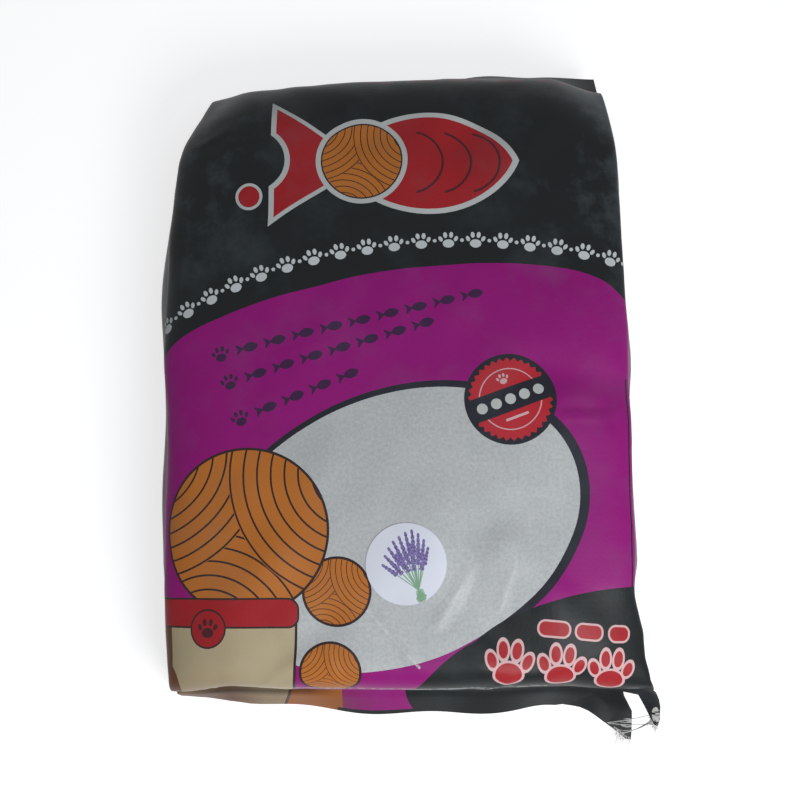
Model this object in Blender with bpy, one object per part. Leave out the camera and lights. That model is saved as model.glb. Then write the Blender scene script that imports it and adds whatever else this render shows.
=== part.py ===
"""A filled twenty kilogram sack of cat litter with side gussets, lying on its back.

The sack is one laminated tube. Both ends are sewn flat, with a raw hem outside the stitches, and at the
ends the side gussets are tucked in between the front and the back panel. X runs across the sack, Y along it
towards the top of the print, and +Z is up, out of the printed front. Sizes are in metres.
"""

import math

import bpy
import numpy as np

# The sack
FACE_WIDTH = 0.400
SEAM_SPACING = 0.550
FILL_DEPTH = 0.112
GUSSET_TUCK = 0.055
GUSSET_RUN = 0.105
SIDE_BULGE = 0.009

# The sewn ends
SEAM_HEIGHT = 0.044
SEAM_BOW = 0.006
TOP_SKEW = 0.009
HEM_LENGTH = 0.034
HEM_THICKNESS = 0.0020
CURL_LENGTH = 0.012
PLY_GAP = 0.0004

# The filled outline
BOTTOM_SHOULDER = 0.034
TOP_SHOULDER = 0.062
BACK_SHOULDER = 0.070
SHOULDER_OVERHANG = 0.004
CROWN_FALL = 0.010
END_NARROWING = 0.005

# The sewing thread
THREAD_RADIUS = 0.0009
STITCH_PITCH = 0.010
STITCH_SET = 0.006
THREAD_CLEARANCE = 0.0004

# The round scent label
LABEL_RADIUS = 0.034
LABEL_THICKNESS = 0.0004
LABEL_LIFT = 0.0004
LABEL_ACROSS = 0.006
LABEL_FROM_BOTTOM = 0.096

# How finely the surfaces are cut
CENTRE_SEGMENTS = 18
BODY_SEGMENTS = 42
LABEL_RINGS = 3
LABEL_SIDES = 28
THREAD_SIDES = 4

# Where the points lie from a fold (1) to the crease of the gusset (0), closer together at the fold
FOLD_SHARES = (1.0, 0.93, 0.80, 0.58, 0.30, 0.0)

# The front panel's edge on the left and on the right: height of the fold as a share of the crown, and the
# squareness of the turn into the side
LEFT_EDGE = (0.62, 6.0)
RIGHT_EDGE = (0.84, 12.0)
EDGE_ROUNDNESS = 1.7
FOLD_RADIUS = 0.004

# How far the folds bow outwards from the bottom seam (-1) to the top seam (1)
LEFT_BOW = ((-1.0, 0.0), (-0.85, 0.002), (-0.3, 0.003), (0.0, 0.010), (0.3, 0.013), (0.7, 0.007), (1.0, 0.0))
RIGHT_BOW = ((-1.0, 0.0), (0.0, 0.003), (1.0, 0.0))

# How much lower the front's four corners lie, and over what length they come down
CORNER_DROP = {(1, -1): 0.45, (-1, -1): 0.10, (1, 1): 0.35, (-1, 1): 0.30}
CORNER_RUN = 0.085
CORNER_SHARE = 0.35

# The underside: how much of its width lies flat on the floor, and how far its folds reach towards it
FLAT_SHARE = 0.80
BACK_EDGE = 0.74

BOTTOM_ROUNDNESS = 3.2
TOP_ROUNDNESS = 2.4
BACK_ROUNDNESS = 2.2

# How steeply the hems hang, in degrees from level, at shares of the half width from left to right
BOTTOM_HANG = ((-1.0, 76.0), (-0.4, 56.0), (0.0, 46.0), (0.4, 46.0), (0.72, 58.0), (1.0, 16.0))
TOP_HANG = ((-1.0, 58.0), (0.0, 62.0), (1.0, 40.0))
HEM_WAVE = 5.0
HEM_WAVES = 3.5

# How far each corner is drawn out of line, for the plies in front and the plies behind: across, along and
# up at the seam and across again at the raw edge, counted outwards from the middle of the sack, and then the
# share of the hem that is missing between the corner and the crease of the gusset
EAR_REACH = 0.085
EARS = {
    (1, -1): ((0.018, 0.008, 0.006, 0.018, 0.85), (0.008, 0.012, -0.032, 0.010, 0.0)),
    (-1, -1): ((0.002, 0.012, -0.010, 0.0, 0.0), (0.0, 0.008, -0.014, 0.0, 0.0)),
    (1, 1): ((0.002, -0.008, -0.004, 0.0, 0.0), (0.002, -0.008, -0.012, 0.0, 0.0)),
    (-1, 1): ((-0.014, 0.002, -0.004, -0.006, 0.0), (-0.010, 0.002, -0.012, -0.006, 0.0)),
}

# Broad folds and dents of the front: start and end as shares of half the width and half the length, then
# the width and the height, which is negative in a dent
FRONT_FOLDS = (
    ((0.98, -0.98), (0.45, -0.60), 0.020, 0.0050),
    ((0.70, -1.00), (0.30, -0.78), 0.016, -0.0040),
    ((-0.95, -0.95), (-0.50, -0.62), 0.022, 0.0040),
    ((-0.62, -1.00), (-0.30, -0.80), 0.016, -0.0030),
    ((0.96, 0.96), (0.42, 0.58), 0.024, 0.0045),
    ((0.66, 1.00), (0.28, 0.72), 0.020, -0.0040),
    ((-0.96, 0.96), (-0.48, 0.50), 0.024, 0.0045),
    ((-0.60, 1.00), (-0.20, 0.74), 0.020, -0.0035),
    ((0.60, -0.04), (0.98, -0.10), 0.018, -0.0035),
    ((-0.90, 0.30), (-0.62, -0.18), 0.050, -0.0040),
    ((-0.05, 0.46), (0.55, 0.38), 0.060, -0.0030),
    ((0.10, -0.52), (0.62, -0.20), 0.055, 0.0030),
)
SIDE_WAVE = 0.0025
SIDE_WAVES = 3.0


def smooth(share):
    """Eases from 0 to 1."""
    share = np.clip(share, 0.0, 1.0)
    return share * share * (3.0 - 2.0 * share)


def half_length():
    """Half the length of the sack between its seams."""
    return SEAM_SPACING / 2


def clear_scene():
    for obj in list(bpy.data.objects):
        bpy.data.objects.remove(obj)


def make_material(name, colour, roughness):
    material = bpy.data.materials.new(name)
    material.use_nodes = True
    shader = material.node_tree.nodes["Principled BSDF"]
    shader.inputs["Base Color"].default_value = (*colour, 1.0)
    shader.inputs["Roughness"].default_value = roughness
    shader.inputs["Metallic"].default_value = 0.0
    return material


def end_shoulder(run, roundness, overhang, end):
    """One end of a panel's side outline, from the seam to the level part: places along Y and openness."""
    angle = np.linspace(0.0, math.pi / 2, 121)
    open_share = np.sin(angle) ** (2 / roundness)
    inward = run * (1.0 - np.cos(angle) ** (2 / roundness))
    pinch = overhang * (1.0 - open_share) ** 3
    return end * (half_length() + overhang - pinch - inward), open_share


def side_outline(depth, bottom, top, overhang):
    """Places along Y and openness of one panel from seam to seam. Each end is its run and its roundness."""
    bottom_y, bottom_open = end_shoulder(*bottom, overhang, -1)
    top_y, top_open = end_shoulder(*top, overhang, 1)
    along = np.concatenate([bottom_y, top_y[::-1]])
    open_share = np.concatenate([bottom_open, top_open[::-1]])
    steps = np.hypot(np.diff(along), depth * np.diff(open_share))
    run = np.concatenate([[0.0], np.cumsum(steps)])
    share = np.linspace(0.0, 1.0, BODY_SEGMENTS + 1)
    crowded = share - 0.09 * np.sin(2 * math.pi * share)
    return np.interp(crowded * run[-1], run, along), np.interp(crowded * run[-1], run, open_share)


def seam_half_width():
    """Half the width of the sack along its seams."""
    return FACE_WIDTH / 2 - END_NARROWING


def half_width(across, along):
    """Distance of a fold from the middle line, on the side of a point across and at a place along the sack."""
    end_share = smooth((np.abs(along) - half_length() + GUSSET_RUN) / GUSSET_RUN)
    left, right = (np.interp(along / half_length(), *zip(*bow)) for bow in (LEFT_BOW, RIGHT_BOW))
    return FACE_WIDTH / 2 - END_NARROWING * end_share + np.where(across < 0, left, right)


def edge_of(across):
    """Height share and squareness of the front panel's edge on the side where a point lies."""
    right = across >= 0
    return np.where(right, RIGHT_EDGE[0], LEFT_EDGE[0]), np.where(right, RIGHT_EDGE[1], LEFT_EDGE[1])


def front_folds(across, along):
    """Height of the front panel's broad folds, at shares of its half width and half length."""
    height = np.zeros(np.broadcast(across, along).shape)
    for start, end, width, rise in FRONT_FOLDS:
        run = np.subtract(end, start) * (FACE_WIDTH / 2, half_length())
        length = math.hypot(*run)
        away = (across - start[0]) * FACE_WIDTH / 2, (along - start[1]) * half_length()
        down = (away[0] * run[0] + away[1] * run[1]) / length
        aside = (away[0] * run[1] - away[1] * run[0]) / length
        beyond = np.maximum(0.0, np.maximum(-down, down - length))
        height += rise * np.exp(-(aside**2 + beyond**2) / width**2)
    return height


def corner_drop(across, along):
    """Share of the front panel's height that is lost towards its corners."""
    lost = 0.0
    for (side, end), drop in CORNER_DROP.items():
        outward = smooth((side * across - 1.0 + CORNER_SHARE) / CORNER_SHARE)
        endward = smooth(1.0 - (half_length() - end * along) / CORNER_RUN)
        lost = lost + drop * outward * endward
    return lost


def front_height(across, along, open_share):
    """Height of the front panel above the seams' level."""
    fold_share, squareness = edge_of(across)
    crown = 1.0 - np.minimum(np.abs(across), 1.0) ** squareness
    section = fold_share + (1.0 - fold_share) * crown ** (1 / EDGE_ROUNDNESS)
    along_share = along / half_length()
    depth = FILL_DEPTH - SEAM_HEIGHT - HEM_THICKNESS / 2 - CROWN_FALL * along_share**2
    raised = depth * section + front_folds(across, along_share)
    return open_share * raised * (1.0 - corner_drop(across, along))


def back_depth(across, open_share):
    """Depth of the back panel below the seams' level."""
    edge = np.clip((np.abs(across) - FLAT_SHARE) / (1.0 - FLAT_SHARE), 0.0, 1.0)
    section = BACK_EDGE + (1.0 - BACK_EDGE) * np.sqrt(1.0 - edge**2)
    return open_share * (SEAM_HEIGHT - HEM_THICKNESS / 2) * section


def bowed(across, along):
    """A place along Y after the seams' outward bow, and with the top seam drawn askew."""
    skew = TOP_SKEW * across * smooth(along / half_length())
    return along * (1.0 + SEAM_BOW * (1.0 - across**2) / half_length()) + skew


def with_ears(points, front_share, down=0.0):
    """Points with the corners drawn out of line. front_share is 1 on the front plies and 0 on the back ones."""
    crease = seam_half_width() - GUSSET_TUCK
    raised = np.clip(points[..., 2] / SEAM_HEIGHT, 0.0, 1.0)
    moved = points.copy()
    for (side, end), (front, back) in EARS.items():
        outward = smooth((side * points[..., 0] - crease) / GUSSET_TUCK)
        endward = smooth(1.0 - (half_length() - end * points[..., 1]) / EAR_REACH)
        drawn = [back[at] + (front[at] - back[at]) * front_share for at in range(len(front))]
        splayed = drawn[0] + drawn[3] * down / HEM_LENGTH
        for axis, move in enumerate((side * splayed, end * drawn[1], raised * drawn[2])):
            moved[..., axis] += outward * endward * move
    return moved


def across_shares():
    """Shares of the half width where the front and back panels have points, left to right."""
    crease_share = 1.0 - GUSSET_TUCK / seam_half_width()
    tucked = crease_share + (1.0 - crease_share) * np.array(FOLD_SHARES)
    centre = np.linspace(-crease_share, crease_share, CENTRE_SEGMENTS + 1)[1:-1]
    return np.concatenate([-tucked, centre, tucked[::-1]])


def front_outline(overhang):
    """Side outline of the front panel, with its shoulders hanging over the seams by an overhang."""
    bottom = (BOTTOM_SHOULDER, BOTTOM_ROUNDNESS)
    return side_outline(FILL_DEPTH - SEAM_HEIGHT, bottom, (TOP_SHOULDER, TOP_ROUNDNESS), overhang)


def back_outline():
    """Side outline of the back panel."""
    end = (BACK_SHOULDER, BACK_ROUNDNESS)
    return side_outline(SEAM_HEIGHT, end, end, 0.0)


def panel_loops():
    """Points of the body's front and back panels, one row for each station from the bottom seam to the top."""
    across = across_shares()[None, :]
    front_y, front_open = front_outline(SHOULDER_OVERHANG)
    back_y, back_open = back_outline()
    loops = []
    for along, open_share, front in ((front_y, front_open, True), (back_y, back_open, False)):
        y = bowed(across, along[:, None])
        x = across * half_width(across, along[:, None])
        if front:
            z = SEAM_HEIGHT + HEM_THICKNESS / 2 + front_height(across, along[:, None], open_share[:, None])
        else:
            z = SEAM_HEIGHT - HEM_THICKNESS / 2 - back_depth(across, open_share[:, None])
        loops.append(with_ears(np.stack(np.broadcast_arrays(x, y, z), axis=-1), float(front)))
    return loops


def gusset_loops(side):
    """Points of one side gusset's two leaves, from the front fold to the crease and from it to the back fold."""
    share = np.array(FOLD_SHARES)[None, :]
    front_y, front_open = (column[:, None] for column in front_outline(SHOULDER_OVERHANG))
    back_y, back_open = (column[:, None] for column in back_outline())
    middle_y = (front_outline(0.0)[0][:, None] + back_y) / 2
    tuck = 1.0 - smooth((half_length() - np.abs(middle_y)) / GUSSET_RUN)
    wave = SIDE_WAVE * np.sin(SIDE_WAVES * math.pi * middle_y / half_length() + side)
    bulge = (1.0 - tuck) * (SIDE_BULGE + wave) * (1.0 - share**2)
    x = side * (half_width(side, middle_y) + bulge - tuck * GUSSET_TUCK * (1.0 - share))
    fold_round = FOLD_RADIUS * front_open**2
    front_rise = (front_height(float(side), front_y, front_open) - fold_round) * share
    back_fall = (back_depth(1.0, back_open) - FOLD_RADIUS * back_open**2) * share
    leaves = []
    for panel_y, z, layer in (
        (front_y, SEAM_HEIGHT + PLY_GAP / 2 + front_rise, 1.0),
        (back_y, SEAM_HEIGHT - PLY_GAP / 2 - back_fall, 0.0),
    ):
        leaf_y = (middle_y + (panel_y - middle_y) * share) * (1.0 - HEM_THICKNESS / half_length())
        y = bowed(x / half_width(side, middle_y), leaf_y)
        points = np.stack(np.broadcast_arrays(x, y, z), axis=-1)
        leaves.append(with_ears(points, layer + (0.5 - layer) * (1.0 - tuck) * (1.0 - share)))
    return leaves[0], leaves[1][:, ::-1]


def hem_angle(end, across):
    """How far the hem hangs from level, in radians, at a share of the half width."""
    hang = np.interp(across, *zip(*(BOTTOM_HANG if end < 0 else TOP_HANG)))
    return np.radians(hang + HEM_WAVE * np.sin(HEM_WAVES * math.pi * across))


def hem_missing(end, across, front_share):
    """Share of a hem's length that is missing at a share of the half width."""
    crease_share = 1.0 - GUSSET_TUCK / seam_half_width()
    missing = 0.0
    for side in (-1, 1):
        front, back = EARS[side, end]
        outward = smooth((side * across - crease_share) / (1.0 - crease_share))
        missing = missing + (back[4] + (front[4] - back[4]) * front_share) * 4.0 * outward * (1.0 - outward)
    return missing


def hem_points(end, across, full_down, lift, front_share):
    """Points of a hem: down from its seam, and lifted off its middle along its own normal."""
    down = full_down * (1.0 - hem_missing(end, across, front_share))
    hang = hem_angle(end, across)
    curled = np.minimum(down / CURL_LENGTH, 1.0)
    straight = np.maximum(down - CURL_LENGTH, 0.0)
    forward = CURL_LENGTH / hang * np.sin(hang * curled) + straight * np.cos(hang)
    fall = CURL_LENGTH / hang * (1.0 - np.cos(hang * curled)) + straight * np.sin(hang)
    y = bowed(across, end * half_length()) + end * (forward + lift * np.sin(hang * curled))
    z = SEAM_HEIGHT - fall + lift * np.cos(hang * curled)
    points = np.stack(np.broadcast_arrays(across * seam_half_width(), y, z), axis=-1)
    return with_ears(points, front_share, down)


def hem_stations():
    """Distances down a hem from its seam where it has rings, with one of them at the stitches."""
    marks = (0.0, STITCH_SET, CURL_LENGTH, HEM_LENGTH)
    return np.concatenate([np.linspace(start, stop, 3)[1:] for start, stop in zip(marks[:-1], marks[1:])])


def hem_loops(end):
    """Points of one hem as rings in the same order as the body's, from the first ring past the seam outwards."""
    crease_share = 1.0 - GUSSET_TUCK / seam_half_width()
    panel = across_shares()
    leaf = crease_share + (1.0 - crease_share) * np.array(FOLD_SHARES)
    outer, inner = HEM_THICKNESS / 2, PLY_GAP / 2
    rings = []
    for down in hem_stations():
        rings.append(
            np.concatenate(
                [
                    hem_points(end, panel, down, outer, 1.0),
                    hem_points(end, leaf, down, inner, 1.0),
                    hem_points(end, leaf[::-1], down, -inner, 0.0),
                    hem_points(end, panel[::-1], down, -outer, 0.0),
                    hem_points(end, -leaf, down, -inner, 0.0),
                    hem_points(end, -leaf[::-1], down, inner, 1.0),
                ]
            )
        )
    return rings


def sack_rings():
    """Every ring of the sack, from the bottom hem's raw edge to the top hem's."""
    front, back = panel_loops()
    right_front, right_back = gusset_loops(1)
    left_front, left_back = gusset_loops(-1)
    body = [
        np.concatenate(parts)
        for parts in zip(
            front, right_front, right_back, back[:, ::-1], left_back[:, ::-1], left_front[:, ::-1]
        )
    ]
    return hem_loops(-1)[::-1] + body + hem_loops(1)


def raw_edge_faces(panel_count):
    """Faces of a hem's raw edge, as places in a ring: two plies at each gusset, and one body between them."""
    leaf = len(FOLD_SHARES)
    front = list(range(panel_count))
    right_front = list(range(panel_count, panel_count + leaf))
    right_back = list(range(panel_count + leaf, panel_count + 2 * leaf))
    first_back = panel_count + 2 * leaf
    back = list(range(first_back, first_back + panel_count))[::-1]
    first_left = first_back + panel_count
    left_back = list(range(first_left, first_left + leaf))
    left_front = list(range(first_left + leaf, first_left + 2 * leaf))
    right_panel, left_panel = front[-leaf:][::-1], front[:leaf]
    right_under, left_under = back[-leaf:][::-1], back[:leaf]
    faces = []
    for panel, ply in (
        (right_panel, right_front),
        (right_under, right_back[::-1]),
        (left_panel, left_front[::-1]),
        (left_under, left_back),
    ):
        faces += [(panel[i], panel[i + 1], ply[i + 1], ply[i]) for i in range(leaf - 1)]
    centre_front, centre_back = front[leaf - 1 : 1 - leaf], back[leaf - 1 : 1 - leaf]
    for i in range(1, len(centre_front) - 2):
        faces.append((centre_front[i], centre_front[i + 1], centre_back[i + 1], centre_back[i]))
    for front_at, front_next, back_at, back_next, ply_front, ply_back in (
        (centre_front[0], centre_front[1], centre_back[0], centre_back[1], left_front[0], left_back[-1]),
        (centre_front[-1], centre_front[-2], centre_back[-1], centre_back[-2], right_front[-1], right_back[0]),
    ):
        faces.append((front_at, front_next, ply_front))
        faces.append((ply_front, front_next, back_next, ply_back))
        faces.append((ply_back, back_next, back_at))
    return faces


def make_object(name, points, faces, material):
    """A mesh object with its faces turned outwards."""
    mesh = bpy.data.meshes.new(name)
    mesh.from_pydata([tuple(point) for point in points], [], faces)
    mesh.validate()
    mesh.materials.append(material)
    obj = bpy.data.objects.new(name, mesh)
    bpy.context.scene.collection.objects.link(obj)
    bpy.context.view_layer.objects.active = obj
    bpy.ops.object.mode_set(mode="EDIT")
    bpy.ops.mesh.select_all(action="SELECT")
    bpy.ops.mesh.normals_make_consistent(inside=False)
    bpy.ops.object.mode_set(mode="OBJECT")
    mesh.shade_smooth()
    mesh.set_sharp_from_angle(angle=math.radians(50))
    return obj


def tube_faces(ring_count, ring_size, closed_ends):
    """Quads that join rings of points in order."""
    faces = []
    for ring in range(ring_count - 1):
        for at in range(ring_size):
            after = (at + 1) % ring_size
            low, high = ring * ring_size, (ring + 1) * ring_size
            faces.append((low + at, low + after, high + after, high + at))
    if closed_ends:
        faces.append(tuple(range(ring_size)))
        faces.append(tuple(range((ring_count - 1) * ring_size, ring_count * ring_size)))
    return faces


def make_sack():
    rings = sack_rings()
    ring_size = len(rings[0])
    faces = tube_faces(len(rings), ring_size, closed_ends=False)
    edge = raw_edge_faces(len(across_shares()))
    last = (len(rings) - 1) * ring_size
    faces += edge + [tuple(last + at for at in face) for face in edge]
    printed_film = make_material("printed_film", (0.035, 0.037, 0.042), 0.38)
    return make_object("sack", np.concatenate(rings), faces, printed_film)


def label_points():
    """Rings of points of the round label, from its centre outwards and back underneath."""
    centre_y = LABEL_FROM_BOTTOM - half_length()
    rings = []
    for radius in np.linspace(0.0, LABEL_RADIUS, LABEL_RINGS + 1)[1:]:
        turn = np.linspace(0.0, 2 * math.pi, LABEL_SIDES, endpoint=False)
        rings.append((LABEL_ACROSS + radius * np.cos(turn), centre_y + radius * np.sin(turn)))
    x = np.concatenate([[LABEL_ACROSS], *(ring[0] for ring in rings)])
    y = np.concatenate([[centre_y], *(ring[1] for ring in rings)])
    across = x / half_width(x, y)
    along = y / (1.0 + SEAM_BOW * (1.0 - across**2) / half_length())
    z = SEAM_HEIGHT + HEM_THICKNESS / 2 + front_height(across, along, 1.0) + LABEL_LIFT
    under = np.stack([x, y, z], axis=-1)
    return np.concatenate([under + (0.0, 0.0, LABEL_THICKNESS), under])


def make_label():
    points = label_points()
    below = len(points) // 2
    faces = []
    for at in range(LABEL_SIDES):
        after = (at + 1) % LABEL_SIDES
        for offset in (0, below):
            faces.append((offset, offset + 1 + at, offset + 1 + after))
            for ring in range(LABEL_RINGS - 1):
                low, high = offset + 1 + ring * LABEL_SIDES, offset + 1 + (ring + 1) * LABEL_SIDES
                faces.append((low + at, high + at, high + after, low + after))
        rim = 1 + (LABEL_RINGS - 1) * LABEL_SIDES
        faces.append((rim + at, below + rim + at, below + rim + after, rim + after))
    return make_object("scent_label", points, faces, make_material("label_paper", (0.80, 0.80, 0.84), 0.45))


def seam_line(end, front):
    """Points and outward normals along the stitches: left to right on a hem's front, right to left behind."""
    rings = hem_loops(end)
    at = int(np.searchsorted(hem_stations(), STITCH_SET))
    panel_count = len(across_shares())
    first = 0 if front else panel_count + 2 * len(FOLD_SHARES)
    rows = [ring[first : first + panel_count] for ring in (rings[at], rings[at + 1])]
    normal = np.cross(np.gradient(rows[0], axis=0), rows[1] - rows[0])
    normal /= np.linalg.norm(normal, axis=1)[:, None]
    return rows[0], end * normal


def thread_route(end):
    """Points along a seam's thread: along the hem's back, round its left edge and along its front."""
    lift = THREAD_CLEARANCE + THREAD_RADIUS
    behind, behind_normal = seam_line(end, front=False)
    before, before_normal = seam_line(end, front=True)
    behind = behind + lift * behind_normal
    before = before + lift * before_normal
    turn = np.stack([behind[-1], before[0]])
    turn[:, 0] = turn[:, 0].min() - lift
    corners = np.concatenate([behind, turn, before])
    route = [corners[:1]]
    for start, stop in zip(corners[:-1], corners[1:]):
        steps = max(1, round(2 * math.dist(start, stop) / STITCH_PITCH))
        route.append(np.linspace(start, stop, steps + 1)[1:])
    return np.concatenate(route)


def make_thread(name, end):
    """A seam's thread as one long tube that is thick at each stitch and thin at each needle hole."""
    route = thread_route(end)
    ahead = np.gradient(route, axis=0)
    ahead /= np.linalg.norm(ahead, axis=1)[:, None]
    aside = np.cross(ahead, (0.0, 0.3, 1.0))
    aside /= np.linalg.norm(aside, axis=1)[:, None]
    above = np.cross(aside, ahead)
    turn = np.linspace(0.0, 2 * math.pi, THREAD_SIDES, endpoint=False)
    radius = THREAD_RADIUS * np.where(np.arange(len(route)) % 2 == 0, 1.0, 0.5)
    circle = np.cos(turn)[None, :, None] * aside[:, None, :] + np.sin(turn)[None, :, None] * above[:, None, :]
    points = route[:, None, :] + radius[:, None, None] * circle
    faces = tube_faces(len(route), THREAD_SIDES, closed_ends=True)
    return make_object(name, points.reshape(-1, 3), faces, make_material(name, (0.78, 0.78, 0.76), 0.8))


def centre_on_origin(objects):
    """Moves the whole model so that the origin is below its middle, on the floor."""
    corners = np.array([obj.matrix_world @ vertex.co for obj in objects for vertex in obj.data.vertices])
    middle = (corners.min(axis=0) + corners.max(axis=0)) / 2
    for obj in objects:
        for vertex in obj.data.vertices:
            vertex.co.x -= middle[0]
            vertex.co.y -= middle[1]


def main():
    clear_scene()
    objects = [
        make_sack(),
        make_label(),
        make_thread("bottom_seam_thread", -1),
        make_thread("top_seam_thread", 1),
    ]
    centre_on_origin(objects)


main()
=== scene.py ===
"""The looks of a filled twenty kilogram sack of cat litter, lying on its back.

The fine sack repeats the shape of the CAD sack and adds its wrinkles, gathers and creases. Its print is
worked out from the place of each point on the flat film: around is the distance across the front from its
middle line, and along the distance from the middle of the sack towards the top of the print. All lengths
are in metres.
"""

import math

import bpy
import numpy as np
from mathutils.bvhtree import BVHTree
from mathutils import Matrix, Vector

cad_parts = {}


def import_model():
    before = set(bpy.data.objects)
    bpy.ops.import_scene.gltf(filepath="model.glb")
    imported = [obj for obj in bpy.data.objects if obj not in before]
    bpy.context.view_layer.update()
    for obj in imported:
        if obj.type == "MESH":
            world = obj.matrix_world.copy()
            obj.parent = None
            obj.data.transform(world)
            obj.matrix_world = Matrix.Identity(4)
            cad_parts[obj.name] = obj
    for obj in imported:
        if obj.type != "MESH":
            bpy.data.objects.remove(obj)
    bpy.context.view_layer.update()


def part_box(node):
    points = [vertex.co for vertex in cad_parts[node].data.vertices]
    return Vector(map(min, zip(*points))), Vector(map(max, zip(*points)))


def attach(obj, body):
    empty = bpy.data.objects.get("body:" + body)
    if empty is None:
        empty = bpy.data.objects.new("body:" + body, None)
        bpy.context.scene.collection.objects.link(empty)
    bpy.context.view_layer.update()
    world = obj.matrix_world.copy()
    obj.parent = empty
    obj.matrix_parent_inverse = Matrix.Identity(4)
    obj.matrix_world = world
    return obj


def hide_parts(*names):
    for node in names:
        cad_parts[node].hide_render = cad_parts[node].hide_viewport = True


# The sack, with the sizes of the CAD model
FACE_WIDTH = 0.400
SEAM_SPACING = 0.550
FILL_DEPTH = 0.112
GUSSET_TUCK = 0.055
GUSSET_RUN = 0.105
SIDE_BULGE = 0.009
SEAM_HEIGHT = 0.044
SEAM_BOW = 0.006
TOP_SKEW = 0.009
HEM_LENGTH = 0.034
HEM_THICKNESS = 0.0020
CURL_LENGTH = 0.012
PLY_GAP = 0.0004
BOTTOM_SHOULDER = 0.034
TOP_SHOULDER = 0.062
BACK_SHOULDER = 0.070
SHOULDER_OVERHANG = 0.004
CROWN_FALL = 0.010
END_NARROWING = 0.005
LEFT_EDGE = (0.62, 6.0)
RIGHT_EDGE = (0.84, 12.0)
EDGE_ROUNDNESS = 1.7
FOLD_RADIUS = 0.004
LEFT_BOW = (
    (-1.0, 0.0),
    (-0.85, 0.002),
    (-0.3, 0.003),
    (0.0, 0.010),
    (0.3, 0.013),
    (0.7, 0.007),
    (1.0, 0.0),
)
RIGHT_BOW = ((-1.0, 0.0), (0.0, 0.003), (1.0, 0.0))
CORNER_DROP = {(1, -1): 0.45, (-1, -1): 0.10, (1, 1): 0.35, (-1, 1): 0.30}
CORNER_RUN = 0.085
CORNER_SHARE = 0.35
FLAT_SHARE = 0.80
BACK_EDGE = 0.74
BOTTOM_ROUNDNESS = 3.2
TOP_ROUNDNESS = 2.4
BACK_ROUNDNESS = 2.2
BOTTOM_HANG = ((-1.0, 76.0), (-0.4, 56.0), (0.0, 46.0), (0.4, 46.0), (0.72, 58.0), (1.0, 16.0))
TOP_HANG = ((-1.0, 58.0), (0.0, 62.0), (1.0, 40.0))
HEM_WAVE = 5.0
HEM_WAVES = 3.5

# How each corner is drawn out of line, on its front plies and on its back ones: outwards, endwards and up,
# how much further outwards at the raw edge, and the share of the hem that is missing
EAR_REACH = 0.085
EARS = {
    (1, -1): ((0.018, 0.008, 0.006, 0.018, 0.85), (0.008, 0.012, -0.032, 0.010, 0.0)),
    (-1, -1): ((0.002, 0.012, -0.010, 0.0, 0.0), (0.0, 0.008, -0.014, 0.0, 0.0)),
    (1, 1): ((0.002, -0.008, -0.004, 0.0, 0.0), (0.002, -0.008, -0.012, 0.0, 0.0)),
    (-1, 1): ((-0.014, 0.002, -0.004, -0.006, 0.0), (-0.010, 0.002, -0.012, -0.006, 0.0)),
}

# Broad folds of the front: start and end at shares of its half width and half length, width and height
FRONT_FOLDS = (
    ((0.98, -0.98), (0.45, -0.60), 0.020, 0.0050),
    ((0.70, -1.00), (0.30, -0.78), 0.016, -0.0040),
    ((-0.95, -0.95), (-0.50, -0.62), 0.022, 0.0040),
    ((-0.62, -1.00), (-0.30, -0.80), 0.016, -0.0030),
    ((0.96, 0.96), (0.42, 0.58), 0.024, 0.0045),
    ((0.66, 1.00), (0.28, 0.72), 0.020, -0.0040),
    ((-0.96, 0.96), (-0.48, 0.50), 0.024, 0.0045),
    ((-0.60, 1.00), (-0.20, 0.74), 0.020, -0.0035),
    ((0.60, -0.04), (0.98, -0.10), 0.018, -0.0035),
    ((-0.90, 0.30), (-0.62, -0.18), 0.050, -0.0040),
    ((-0.05, 0.46), (0.55, 0.38), 0.060, -0.0030),
    ((0.10, -0.52), (0.62, -0.20), 0.055, 0.0030),
)
SIDE_WAVE = 0.0025
SIDE_WAVES = 3.0

# How finely the sack is cut, and how far its marks are rounded off, as a share of half its length
CENTRE_SEGMENTS = 84
OUTLINE_SAMPLES = 1201
END_CROWDING = 0.09
FOLD_CROWDING = 1.6
BODY_SEGMENTS = 216
FOLD_SEGMENTS = 14
HEM_SEGMENTS = 4
MARK_BLUR = 0.12
MARK_SAMPLES = 9
SACK_SHARP_ANGLE = math.radians(60)

# How much wider the torn corner's plies are at a distance beyond the seam, on the front and on the back
EAR_WIDER = (
    (-0.070, 0.0),
    (-0.040, 0.0015),
    (-0.018, -0.0012),
    (0.0, 0.0008),
    (0.009, 0.0050),
    (0.0125, 0.0085),
    (0.020, 0.0078),
    (0.0254, 0.0061),
    (0.0307, 0.0030),
    (0.036, 0.0004),
    (0.0413, -0.0049),
)
EAR_BACK_WIDER = ((0.014, 0.0), (0.024, 0.0044), (0.034, 0.0006), (0.045, -0.0037))

# How much further from the seam the bottom hem's raw edges lie at a place across, in front and behind
RAW_EDGE_LEFT = ((-0.190, -0.008), (-0.172, -0.006), (-0.150, -0.001), (-0.135, 0.0))
RAW_EDGE = (
    *RAW_EDGE_LEFT,
    (0.165, 0.0),
    (0.180, -0.003),
    (0.193, -0.009),
    (0.2034, -0.0125),
    (0.2105, -0.0085),
    (0.218, -0.003),
    (0.224, 0.0),
)
RAW_BACK_EDGE = (
    *RAW_EDGE_LEFT,
    (0.140, 0.0),
    (0.162, -0.003),
    (0.172, -0.0025),
    (0.191, 0.0028),
    (0.200, 0.0061),
    (0.208, 0.0113),
    (0.215, 0.012),
)

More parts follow.
